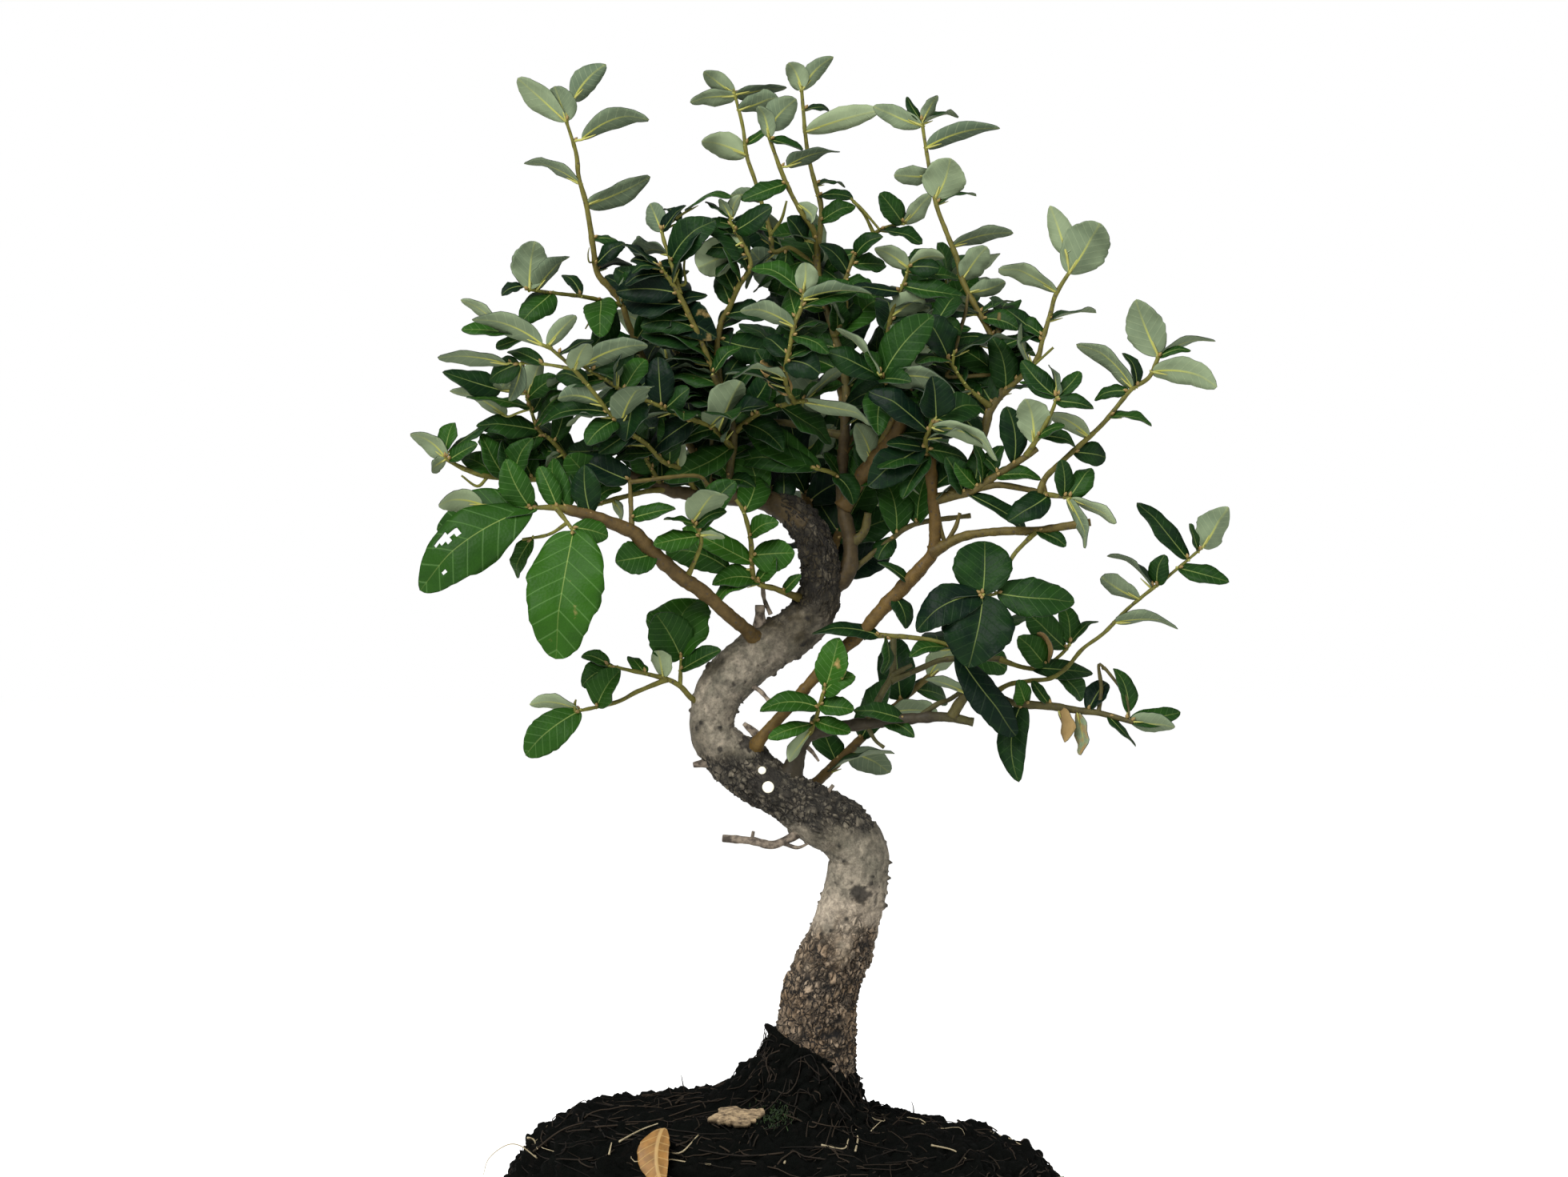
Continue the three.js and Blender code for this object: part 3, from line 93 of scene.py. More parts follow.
class Coat:
    """A material of one principled shader that reads places on its own object. Each method but the
    last adds a node to it, and returns the socket that the node gives."""

    def __init__(self, name, **shader_inputs):
        self.material = bpy.data.materials.new(name)
        self.material.use_nodes = True
        self.tree = self.material.node_tree
        self.shader = self.tree.nodes["Principled BSDF"]
        self.place = add(self.tree, "TexCoord").outputs["Object"]
        for key, value in shader_inputs.items():
            self.shader.inputs[socket_name(key)].default_value = value

    def noise(self, scale, detail, roughness=0.5, place=None):
        """Soft noise from 0 to 1, with a number of lumps to the metre."""
        place = self.place if place is None else place
        made = add(self.tree, "TexNoise", vector=place, scale=scale, detail=detail, roughness=roughness)
        return made.outputs[0]

    def cells(self, scale, place=None, feature="F1"):
        """Worley cells, a number to the metre: the distance to the nearest seed, or to the edge."""
        place = self.place if place is None else place
        made = add(self.tree, "TexVoronoi", {"feature": feature}, vector=place, scale=scale)
        return made.outputs["Distance"]

    def attribute(self, name):
        """A number that the mesh holds for each of its points."""
        return add(self.tree, "Attribute", {"attribute_name": name}).outputs["Fac"]

    def ramp(self, value, low, high, start=0, end=1):
        """From start to end as the value goes from low to high, and level beyond both."""
        return add(self.tree, "MapRange", value=value, in1=low, in2=high, in3=start, in4=end).outputs[0]

    def maths(self, operation, first, second=0.5, third=0.5, clamp=False):
        """A sum of up to three numbers, kept from 0 to 1 if it is clamped."""
        settings = {"operation": operation, "use_clamp": clamp}
        return add(self.tree, "Math", settings, in0=first, in1=second, in2=third).outputs[0]

    def mix(self, share, first, second, operation="MIX"):
        """A share of the way from one colour to another, or to their product. Text is a hex value."""
        first, second = (linear(one) if isinstance(one, str) else one for one in (first, second))
        settings = {"data_type": "RGBA", "blend_type": operation}
        return add(self.tree, "Mix", settings, in0=share, in6=first, in7=second).outputs[2]

    def cover(self, colour, height=None, strength=1.0, depth=0.0):
        """Gives the shader its colour, and a bump of a strength and a depth in metres if there is a
        height. Returns the material."""
        self.tree.links.new(colour, self.shader.inputs["Base Color"])
        if height is not None:
            bump = add(self.tree, "Bump", strength=strength, distance=depth, height=height)
            self.tree.links.new(bump.outputs[0], self.shader.inputs["Normal"])
        return self.material


def new_object(name, points, faces, materials):
    """A smooth-shaded mesh object at the origin, with its place in its mesh."""
    mesh = bpy.data.meshes.new(name)
    mesh.from_pydata(metres(points), [], faces)
    mesh.polygons.foreach_set("use_smooth", np.ones(len(mesh.polygons), bool))
    for material in materials:
        mesh.materials.append(material)
    made = bpy.data.objects.new(name, mesh)
    bpy.context.scene.collection.objects.link(made)
    return made


FLOOR_REACH = 6000
FLOOR_GLOW = 0.16
FLOOR_GLOW_SEEN = 0.66
coat = Coat("matt white floor paint", roughness=0.9, base_color=linear("#f7f7f5"),
            emission_color=linear("#ffffff"))
straight = add(coat.tree, "LightPath").outputs["Is Camera Ray"]
glow = coat.maths("MULTIPLY_ADD", straight, FLOOR_GLOW_SEEN - FLOOR_GLOW, FLOOR_GLOW)
coat.tree.links.new(glow, coat.shader.inputs["Emission Strength"])
corners = [[x * FLOOR_REACH, y * FLOOR_REACH, 0] for x, y in ((-1, -1), (1, -1), (1, 1), (-1, 1))]
new_object("floor", corners, [[0, 1, 2, 3]], [coat.material])

# The sky shows pure white, and lights the tree more weakly than it shows
SKY_LIGHT = 0.36
world = bpy.data.worlds.new("white studio")
world.use_nodes = True
tree = world.node_tree
shown = tree.nodes["Background"]
shown.inputs["Color"].default_value = (1, 1, 1, 1)
lighting = add(tree, "Background", color=(1, 1, 1, 1), strength=SKY_LIGHT)
straight = add(tree, "LightPath").outputs["Is Camera Ray"]
sky = add(tree, "MixShader", in0=straight, in1=lighting, in2=shown)
tree.links.new(sky.outputs[0], tree.nodes["World Output"].inputs["Surface"])
bpy.context.scene.world = world
bpy.context.scene.view_settings.view_transform = "Standard"

# Each lamp: place, size and power in watts. It points at the middle of the tree.
LAMPS = {
    "front lamp": ([-550, -950, 1150], 900, 26),
    "side lamp": ([1000, -500, 700], 700, 4),
}
TREE_MIDDLE = [0, 0, 290]
for name, (place, size, watts) in LAMPS.items():
    lamp = bpy.data.lights.new(name, "AREA")
    lamp.size = size * MM
    lamp.energy = watts
    stand = bpy.data.objects.new(name, lamp)
    stand.location = metres(place)
    away = np.array(place, float) - TREE_MIDDLE
    tilt, turn = math.acos(away[2] / np.linalg.norm(away)), math.atan2(away[1], away[0])
    stand.rotation_euler = (tilt, 0, turn + math.pi / 2)
    bpy.context.scene.collection.objects.link(stand)

camera = bpy.data.cameras.new("camera")
camera.sensor_width = FILM_WIDTH
camera.lens = FILM_WIDTH * VIEW_DISTANCE / VIEW_WIDTH
tripod = bpy.data.objects.new("camera", camera)
tripod.location = metres([0, -VIEW_DISTANCE, EYE_HEIGHT])
tripod.rotation_euler = (math.pi / 2, 0, 0)
bpy.context.scene.collection.objects.link(tripod)
bpy.context.scene.camera = tripod


# Pot. An oval bonsai pot of unglazed stoneware: pressed in a mould, with a belt under the rim, four
# feet and two drain holes, and fired dark brown. Its floor and walls are about 8 mm thick.
POT_WIDTH = 230
POT_DEPTH = 166
RIM_HEIGHT = 58
FOOT_HEIGHT = 8
FOOT_HALF = (15, 11)
FOOT_PLACE = (50, 34)
FLOOR_TOP = 16
DRAIN_OFFSET = 46
DRAIN_RADIUS = 8
POT_SEGMENTS = 144
SHARP_EDGE = 40
STONEWARE = {"body": "#452f20", "pale": "#624833", "iron": "#231812", "bloom": "#8d7766"}


def rounded_corners(corners, radii, steps=5):
    """A profile whose corners are turned into short arcs: a quadratic curve from a radius before
    each corner to a radius after it. The first and last corners stay."""
    corners = np.array(corners, float)
    before = corners[:-2] - corners[1:-1]
    after = corners[2:] - corners[1:-1]
    reach = np.array(radii, float)[:, None]
    start = corners[1:-1] + before / np.linalg.norm(before, axis=1, keepdims=True) * reach
    end = corners[1:-1] + after / np.linalg.norm(after, axis=1, keepdims=True) * reach
    t = np.linspace(0, 1, steps)[None, :, None]
    arcs = (1 - t) ** 2 * start[:, None] + 2 * t * (1 - t) * corners[1:-1, None] + t ** 2 * end[:, None]
    return np.vstack([corners[:1], arcs.reshape(-1, 2), corners[-1:]])


def grid_faces(rows, columns, first=0):
    """The squares between rows and columns of points, closed round each row."""
    r, k = np.meshgrid(np.arange(rows - 1), np.arange(columns), indexing="ij")
    here = first + r * columns + k
    right = first + r * columns + (k + 1) % columns
    return np.stack([here, right, right + columns, here + columns], -1).reshape(-1, 4)


def closed_skin(rings):
    """Points and faces of rings joined one to the next, whose first and last rings close in a fan
    round their own middles."""
    rows, columns, _ = rings.shape
    points = np.vstack([rings.reshape(-1, 3), rings[0].mean(0), rings[-1].mean(0)])
    k = np.arange(columns)
    following = (k + 1) % columns
    last = (rows - 1) * columns
    start = np.stack([following, k, np.full(columns, rows * columns)], -1)
    end = np.stack([last + k, last + following, np.full(columns, rows * columns + 1)], -1)
    return points, [*grid_faces(rows, columns).tolist(), *start.tolist(), *end.tolist()]


def full_turn(number):
    """Angles spaced evenly round a circle."""
    return 2 * math.pi * np.arange(number) / number


def turned_oval(profile, segments):
    """A profile of half width and height carried round an oval of the pot's proportions."""
    angle = full_turn(segments)
    x = profile[:, :1] * np.cos(angle)
    y = profile[:, :1] * np.sin(angle) * POT_DEPTH / POT_WIDTH
    return np.stack([x, y, np.repeat(profile[:, 1:], segments, 1)], -1)


def upright(middle, half, outline, rows):
    """A closed shape that stands upright: an outline about a middle, of a share of its half widths
    at each height. rows holds those shares and heights."""
    middle, half = np.array(middle)[:, None], np.array(half)[:, None]
    return closed_skin(np.array([
        np.vstack([middle + share * half * outline, np.full(outline.shape[1], z)]).T for share, z in rows
    ]))


half = POT_WIDTH / 2
WALL_CORNERS = [
    (0.5, FOOT_HEIGHT), (half - 20, FOOT_HEIGHT), (half - 14, FOOT_HEIGHT + 4), (half - 7, RIM_HEIGHT - 13),
    (half - 1, RIM_HEIGHT - 9), (half, RIM_HEIGHT - 7), (half, RIM_HEIGHT), (half - 6, RIM_HEIGHT),
    (half - 7.5, RIM_HEIGHT - 2), (half - 14.5, 24), (half - 20.5, FLOOR_TOP), (0.5, FLOOR_TOP),
]
WALL_RADII = [2.5, 3, 2, 2, 0.9, 2, 2, 0.9, 4, 3]
wall = turned_oval(rounded_corners(WALL_CORNERS, WALL_RADII), POT_SEGMENTS)
body = new_object("pot", *closed_skin(wall), [])

# Each foot narrows a little towards the table: x and y follow a superellipse, so its corners are round
FOOT_ROWS = [(0.9, 0), (0.95, 0.6), (1, 3), (1.05, FOOT_HEIGHT + 1)]
DRAIN_ROWS = [(1, FOOT_HEIGHT - 3), (1, FLOOR_TOP + 3)]
FOOT_POINTS = 48
circle = np.stack([np.cos(full_turn(FOOT_POINTS)), np.sin(full_turn(FOOT_POINTS))])
rounded = np.sign(circle) * np.abs(circle) ** 0.5
cutters = []
for side_x in (-1, 1):
    for side_y in (-1, 1):
        middle = side_x * FOOT_PLACE[0], side_y * FOOT_PLACE[1]
        cutters.append(("UNION", new_object("foot", *upright(middle, FOOT_HALF, rounded, FOOT_ROWS), [])))
for side_x in (-1, 1):
    drain = upright((side_x * DRAIN_OFFSET, 0), (DRAIN_RADIUS, DRAIN_RADIUS), circle, DRAIN_ROWS)
    cutters.append(("DIFFERENCE", new_object("drain", *drain, [])))
for operation, cutter in cutters:
    cut = body.modifiers.new(operation.lower(), "BOOLEAN")
    cut.operation = operation
    cut.object = cutter
whole = bpy.data.meshes.new_from_object(body.evaluated_get(bpy.context.evaluated_depsgraph_get()))
for _, cutter in cutters:
    bpy.data.objects.remove(cutter)
body.modifiers.clear()
body.data = whole
whole.polygons.foreach_set("use_smooth", np.ones(len(whole.polygons), bool))
whole.set_sharp_from_angle(angle=math.radians(SHARP_EDGE))

# Unglazed stoneware, fired brown: matt, a little grainy, with iron specks about 1 mm across, faint
# marks of the mould's sponge, and a pale lime bloom low down where water has dried
coat = Coat("unglazed brown stoneware", roughness=0.78, ior=1.5)
cloud = coat.noise(38, 4, 0.6)
height = add(coat.tree, "SeparateXYZ", vector=coat.place).outputs["Z"]
limy = coat.maths("MULTIPLY", coat.ramp(height, 0.006, 0.034, 1, 0), cloud)
colour = coat.mix(cloud, STONEWARE["body"], STONEWARE["pale"])
colour = coat.mix(coat.ramp(coat.cells(420), 0.18, 0.3, 1, 0), colour, STONEWARE["iron"])
colour = coat.mix(limy, colour, STONEWARE["bloom"])
stoneware = coat.cover(colour, coat.noise(900, 3), 0.35, 0.0006)
whole.materials.clear()
whole.materials.append(stoneware)
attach(body, "root")
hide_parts("pot")


# Drain meshes. Two squares of moulded black polyethylene mesh over the holes, so that the soil
# stays in. They are the frame's own pieces, and get the plastic's dull gloss and moulding grain.
coat = Coat("moulded black polyethylene", roughness=0.45, ior=1.51)
colour = coat.mix(coat.noise(160, 3), "#1b1d20", "#3a3a36")
mesh_plastic = coat.cover(colour, coat.noise(1400, 2), 0.3, 0.0002)
for name in ("drain_mesh_left", "drain_mesh_right"):
    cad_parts[name].data.materials.clear()
    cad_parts[name].data.materials.append(mesh_plastic)


# Soil. Dark fibrous peat from the pot the tree was lifted from, mounded over the rim and up to the
# foot of the trunk. It is crumbly, bound with hair roots, and drops into the pot as far as its floor.
SOIL_ROWS = 130
SOIL_SEGMENTS = 320
# Clods by height and size, and the crumbs on them with the cracks between
SOIL_CLODS = [(2.6, 11), (1.9, 5), (0.9, 2.2)]
CRUMB_SIZE = 4.2
CRUMB_HEIGHT = 1.6
CRACK_DEPTH = 1.3
# Rows of the soil's grid, counted from the top: all that lie open, those seen from the front and one
# half way down them, the last on which a root may lie, and the share of rows where the pot begins
OPEN_ROWS = 105
FRONT_ROWS = 101
HALF_WAY = 50
LAST_ROOT_ROW = 100
POT_BEGINS = (0.79, 0.87)
PEAT = {"wet": "#030302", "dry": "#0f0c09", "green": "#060a06"}
# Each ring's left and right ends, its half depth, and its heights at the left and the right
SOIL_RINGS = [
    [-4,27,17,122,108], [-11,30,22,111,95], [-22,37,30,99,86], [-52,60,46,93,82.5], [-76,76,58,90,79.5],
    [-88,92,66,85,74.5], [-95,98,70,78,70], [-104,104,74.5,66,65], [-107,107,76.6,57,57],
    [-100,100,71.6,24,24], [-94,94,67.3,16.6,16.6],
]
TABLE_LENGTH = 65536
random_table = np.random.default_rng(5).random(TABLE_LENGTH)


def lattice(cell, seed):
    """A fixed random number from 0 to 1 for each whole-numbered place of a lattice: the place's
    numbers times large primes, mixed bit by bit, pick it from a table."""
    mixed = cell[..., 0] * 73856093 ^ cell[..., 1] * 19349663 ^ cell[..., 2] * 83492791 ^ seed * 2654435
    return random_table[mixed % TABLE_LENGTH]


def noise(points, size, seed=0):
    """Smooth noise from -1 to 1: random numbers a size apart, blended along each axis by 3t2 - 2t3."""
    place = np.asarray(points, float) / size
    cell = np.floor(place).astype(np.int64)
    t = place - cell
    t = t * t * (3 - 2 * t)
    total = 0
    for corner in np.ndindex(2, 2, 2):
        total = total + np.prod(np.where(corner, t, 1 - t), axis=-1) * lattice(cell + corner, seed)
    return 2 * total - 1


def cells(points, size, seed=0):
    """Worley cells a size apart: the distances to the nearest and the second nearest seed, and a
    random number for the nearest."""
    place = np.asarray(points, float) / size
    cell = np.floor(place).astype(np.int64)
    nearest = np.full(place.shape[:-1], 9.0)
    second = nearest.copy()
    mark = nearest.copy()
    for step in np.ndindex(3, 3, 3):
        around = cell + step - 1
        spot = around + np.stack([lattice(around, seed + k) for k in range(3)], -1)
        away = np.linalg.norm(spot - place, axis=-1)
        closer = away < nearest
        second = np.where(closer, nearest, np.minimum(second, away))
        mark = np.where(closer, lattice(around, seed + 3), mark)
        nearest = np.where(closer, away, nearest)
    return nearest, second, mark


def smooth(low, high, value):
    """0 below low, 1 above high, and 3t2 - 2t3 between."""
    t = np.clip((value - low) / (high - low), 0, 1)
    return t * t * (3 - 2 * t)


def grid_normals(points):
    """Outward unit normals of a grid of points, rows by columns, closed round each row."""
    down = np.gradient(points, axis=0)
    around = np.roll(points, -1, 1) - np.roll(points, 1, 1)
    normals = np.cross(around, down)
    return normals / np.maximum(np.linalg.norm(normals, axis=-1, keepdims=True), 1e-9)


rings = np.array(SOIL_RINGS, float)
ring_place = np.concatenate([np.linspace(0, 0.8, 8), [0.86, 0.96, 1]])
row_place = np.linspace(0, 1, SOIL_ROWS)
left, right, depth, left_height, right_height = (
    np.interp(row_place, ring_place, rings[:, k]) for k in range(5)
)
angle = full_turn(SOIL_SEGMENTS)
share = (1 + np.cos(angle)) / 2
soil_grid = np.stack([
    left[:, None] + (right - left)[:, None] * share,
    depth[:, None] * np.sin(angle),
    left_height[:, None] + (right_height - left_height)[:, None] * share,
], -1)[:, ::-1]
soil_normals = grid_normals(soil_grid)
in_pot = smooth(*POT_BEGINS, row_place)[:, None]
lumps = sum(high * noise(soil_grid, size, seed) for seed, (high, size) in enumerate(SOIL_CLODS))
nearest, second, mark = cells(soil_grid, CRUMB_SIZE, 3)
crumbs = CRUMB_HEIGHT * smooth(0.7, 0.1, nearest) * (mark > 0.35)
crack = CRACK_DEPTH * smooth(0.22, 0.0, second - nearest)
soil_grid = soil_grid + soil_normals * ((lumps + crumbs - crack) * (1 - in_pot))[..., None]
soil_normals = grid_normals(soil_grid)
points, faces = closed_skin(soil_grid)

# Wet peat is almost black and dull, a little green in places. Dried crumbs are brown
coat = Coat("moist black peat", roughness=0.85, ior=1.4, specular_ior_level=0.12)
clods = coat.noise(260, 6, 0.7)
ground = coat.mix(coat.noise(60, 2), PEAT["wet"], PEAT["green"])
colour = coat.mix(coat.ramp(clods, 0.52, 0.72), ground, PEAT["dry"])
peat = coat.cover(colour, coat.maths("ADD", clods, coat.noise(1300, 4, 0.7)), 0.9, 0.0015)
soil = new_object("soil", points, faces, [peat])
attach(soil, "root")
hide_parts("soil")


# Roots, straw and moss on the soil. Hair roots and rootlets run over the peat and stick out of it,
# with bits of bleached straw, one long pale hair on the left, and moss beside the bark chip.
FINE_ROOTS = 440
FINE_ROOT_STEPS = 9
STICKING_OUT = 90
STRAW_SHARE = 0.025
STICKING_STRAW_SHARE = 0.05
TRAIL_RADII = (0.4, 0.22)
SEEN_LITTER = {
    "root": [
        [(-1, 90), (6, 87), (11, 84), (15, 89)], [(-50, 77), (-47, 79), (-45, 80)],
        [(-40, 77), (-36, 78), (-34, 80)],
        [(88, 66), (90, 68), (93, 70)], [(-44, 96), (-43, 94), (-42, 92)],
        [(-40, 93), (-38, 95), (-37, 96)], [(14, 108), (20, 102), (26, 92)],
        [(-94, 74), (-80, 84), (-60, 88)], [(-70, 84), (-50, 86), (-32, 92)],
    ],
    "straw": [
        [(-96, 80), (-94, 79), (-92, 77)], [(-97, 76.5), (-95, 75), (-93, 74)],
        [(26, 75), (26.5, 80), (27, 83)], [(-62, 79), (-54, 83), (-47, 85)], [(-66, 74), (-65, 78)],
        [(0, 72), (2, 78)], [(15, 77), (22, 76), (24, 79)], [(-43, 73), (-38, 75), (-32, 81)],
        [(55, 77), (64, 76), (68, 73)], [(118, 69), (108, 66), (98, 64)],
    ],
}
PALE_HAIR = [
    [-90, -28, 79, 0.25], [-96, -30, 84, 0.22], [-101, -32, 84.5, 0.2], [-107, -33, 80, 0.16],
    [-109, -34, 74, 0.1],
]


def seen(points):
    """True places of points given as they look from the front: x and z as seen on the plane of the
    trunk, y their real depth. Any further columns stay."""
    rows = np.array(points, float)
    nearness = (VIEW_DISTANCE + rows[..., 1]) / VIEW_DISTANCE
    rows[..., 0] *= nearness
    rows[..., 2] = EYE_HEIGHT + (rows[..., 2] - EYE_HEIGHT) * nearness
    return rows


def as_seen(points):
    """x and z of true places as they look from the front, on the plane of the trunk."""
    nearness = (VIEW_DISTANCE + points[..., 1]) / VIEW_DISTANCE
    return np.stack([points[..., 0] / nearness, EYE_HEIGHT + (points[..., 2] - EYE_HEIGHT) / nearness], -1)


def spline(rows, gap):
    """The Catmull-Rom curve through rows of place and radius, with a row about every gap mm: a cubic
    between each two rows, whose slope at a row is half the step from the row before to the one after."""
    rows = np.asarray(rows, float)
    ends = np.vstack([2 * rows[0] - rows[1], rows, 2 * rows[-1] - rows[-2]])
    spans = np.linalg.norm(np.diff(rows[:, :3], axis=0), axis=1)
    counts = np.maximum(1, np.ceil(spans / gap)).astype(int)
    whole = np.append(np.repeat(np.arange(len(spans)), counts), len(spans) - 1)
    t = np.append(np.concatenate([np.arange(n) / n for n in counts]), 1.0)[:, None]
    a, b, c, d = (ends[whole + k] for k in range(4))
    square, cube = 2 * a - 5 * b + 4 * c - d, 3 * b - a - 3 * c + d
    return 0.5 * (2 * b + (c - a) * t + square * t ** 2 + cube * t ** 3)


def unit(vectors):
    """Vectors made one long."""
    return vectors / np.maximum(np.linalg.norm(vectors, axis=-1, keepdims=True), 1e-9)


def axes(path):
    """The way a path runs at each point, and two directions square to it and to each other, the
    first of them as near to y as it can be."""
    along = unit(np.gradient(path, axis=0))
    across = unit(np.array([0, 1, 0]) - along * along[:, 1:2])
    return along, across, np.cross(along, across)


def tube(rows, sides):
    """A closed round rod along rows of place and radius: a ring square to the path at each row."""
    rows = np.asarray(rows, float)
    _, across, third = axes(rows[:, :3])
    angle = full_turn(sides)[None, :, None]
    ring = across[:, None] * np.cos(angle) + third[:, None] * np.sin(angle)
    return closed_skin(rows[:, None, :3] + ring * rows[:, None, 3:4])


def write_points(made, name, values):
    """Writes a number for each point of a mesh, which its materials read."""
    made.data.attributes.new(name, "FLOAT", "POINT").data.foreach_set("value", values)


class Heap:
    """Closed shapes gathered into one mesh, with one number for each point and a paint for each face."""

    def __init__(self):
        self.points, self.faces, self.values, self.paints, self.count = [], [], [], [], 0

    def put(self, shape, value=0.0, paint=0):
        """Adds a shape's points and faces behind those that are in the heap already."""
        points, faces = shape
        self.points.append(points)
        self.faces += [[index + self.count for index in face] for face in faces]
        self.values.append(np.broadcast_to(value, len(points)))
        self.paints += [paint] * len(faces)
        self.count += len(points)

    def build(self, name, materials):
        """Turns the heap into one object, whose points carry their numbers as their age."""
        made = new_object(name, np.vstack(self.points), self.faces, materials)
        made.data.polygons.foreach_set("material_index", self.paints)
        write_points(made, "age", np.concatenate(self.values))
        return made


def along_soil(row, column, lift):
    """Places on the soil at rows and columns of its grid, lifted off it."""
    row = np.clip(np.rint(row).astype(int), 2, LAST_ROOT_ROW)
    column = np.rint(column).astype(int) % SOIL_SEGMENTS
    return soil_grid[row, column] + soil_normals[row, column] * np.asarray(lift)[:, None]


litter = Heap()
rng = np.random.default_rng(11)
steps = np.linspace(0, 1, FINE_ROOT_STEPS)
for _ in range(FINE_ROOTS):
    start = rng.uniform(4, 100), rng.uniform(0, SOIL_SEGMENTS)
    turn = rng.uniform(0, 2 * math.pi)
    reach = rng.uniform(5, 22)
    bend = rng.normal(0, 5, 2)
    row = start[0] + reach * math.cos(turn) * steps + bend[0] * np.sin(math.pi * steps)
    column = start[1] + 1.6 * reach * math.sin(turn) * steps + bend[1] * np.sin(math.pi * steps)
    path = along_soil(row, column, 0.2 + rng.uniform(0, 1.6) * np.sin(math.pi * steps))
    path = (path + np.vstack([path[:1], path[:-1]]) + np.vstack([path[1:], path[-1:]])) / 3
    width = rng.uniform(0.14, 0.42) * (1 - 0.6 * steps)
    root = tube(np.column_stack([path, width]), 4)
    litter.put(root, rng.uniform(0, 1), int(rng.uniform() < STRAW_SHARE))
for _ in range(STICKING_OUT):
    row, column = int(rng.uniform(20, 100)), int(rng.uniform(0, SOIL_SEGMENTS))
    way = unit(soil_normals[row, column] + rng.normal(0, 0.7, 3))
    foot = soil_grid[row, column] - 1.5 * way
    bent = foot[None] + way[None] * steps[:, None] * rng.uniform(3, 9)
    bent = bent + rng.normal(0, 1.5, 3) * steps[:, None] ** 2
    hair = tube(np.column_stack([bent, 0.35 * (1 - 0.7 * steps)]), 4)
    litter.put(hair, rng.uniform(0, 1), int(rng.uniform() < STICKING_STRAW_SHARE))
faces_front = soil_grid[HALF_WAY, :, 1] < 0
front, front_normals = soil_grid[:FRONT_ROWS, faces_front], soil_normals[:FRONT_ROWS, faces_front]
front_seen = as_seen(front)


def on_soil(x, z, lift):
    """The place on the front of the soil that is seen nearest to x and z, lifted off it."""
    away = np.linalg.norm(front_seen - [x, z], axis=-1)
    spot = np.unravel_index(np.argmin(away), away.shape)
    return front[spot] + front_normals[spot] * lift


for paint, trails in enumerate(SEEN_LITTER.values()):
    for trail in trails:
        path = np.array([on_soil(x, z, 1.0) for x, z in trail])
        rows = np.column_stack([path, np.linspace(*TRAIL_RADII, len(path))])
        litter.put(tube(spline(rows, 1.5), 6), 0.9, paint)
litter.put(tube(spline(PALE_HAIR, 1), 5), 1, 1)

# Moss: a tuft of short upright blades, each a thin tapering rod
MOSS_BLADES = 260
MOSS_MIDDLE = (-3.5, 88)
MOSS_SPREAD = (3.2, 2)
MOSS_RADII = [0.22, 0.2, 0.14, 0.03]
for _ in range(MOSS_BLADES):
    spot = [middle + rng.normal(0, spread) for middle, spread in zip(MOSS_MIDDLE, MOSS_SPREAD)]
    foot = on_soil(*spot, -0.3)
    way = unit(rng.normal(0, 0.5, 3) + [0, -0.6, 1])
    blade = foot[None] + way[None] * np.linspace(0, rng.uniform(1.2, 2.6), 4)[:, None]
    litter.put(tube(np.column_stack([blade, MOSS_RADII]), 3), rng.uniform(0, 1), 2)


def mottled(name, roughness, scale, first, second):
    """A material that wanders between two colours with soft noise."""
    coat = Coat(name, roughness=roughness)
    return coat.cover(coat.mix(coat.noise(scale, 2), first, second))


coat = Coat("dark rootlets", roughness=0.8, specular_ior_level=0.2)
rootlet = coat.cover(coat.mix(coat.attribute("age"), "#0b0907", "#30271d"))
straw = mottled("bleached straw", 0.6, 700, "#75643f", "#c4b797")
coat = Coat("green moss", roughness=0.7)
moss = coat.cover(coat.mix(coat.attribute("age"), "#16240f", "#31481d"))
litter_piece = litter.build("soil_litter", [rootlet, straw, moss])
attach(litter_piece, "root")
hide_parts("soil")


# Trunk. One stem of cork oak trained into an S, 28 mm thick at the soil. Its foot has corky plates
# parted by deep cracks, the middle is smooth and pale, and the rest is grey-brown with dark warts.
# It carries its hidden roots, two clean pruning cuts, a knot, and dead spurs, all of the one wood.
TRUNK_ROWS = 420
TRUNK_SIDES = 180
PLATE_SIZE = (3.1, 3.1, 5)
WART_SPACING = 5.2
# crack is near black: the darker bark in the cracks and fissures with painted shade in them
BARK = {"grey": "#625e50", "pale": "#b5a793", "cork": "#8c7357", "crack": "#0d0a07", "shade": "#30270f"}
# Where the bark changes, by its height as seen: the cork ends, the rough bend lies, the rough top
# begins; the middles and spreads of the pale foot and of the painted light on the left of the bend;
# the painted shade of the upper stem begins, and the painted shade round the bend lies
CORK_ENDS = (172, 148)
ROUGH_BEND = 210
ROUGH_TOP = (268, 290)
PALE_FOOT = (167, 12)
LIT_BEND = (248, 17)
SHADE_BEGINS = (256, 282)
SHADED_BEND = 213
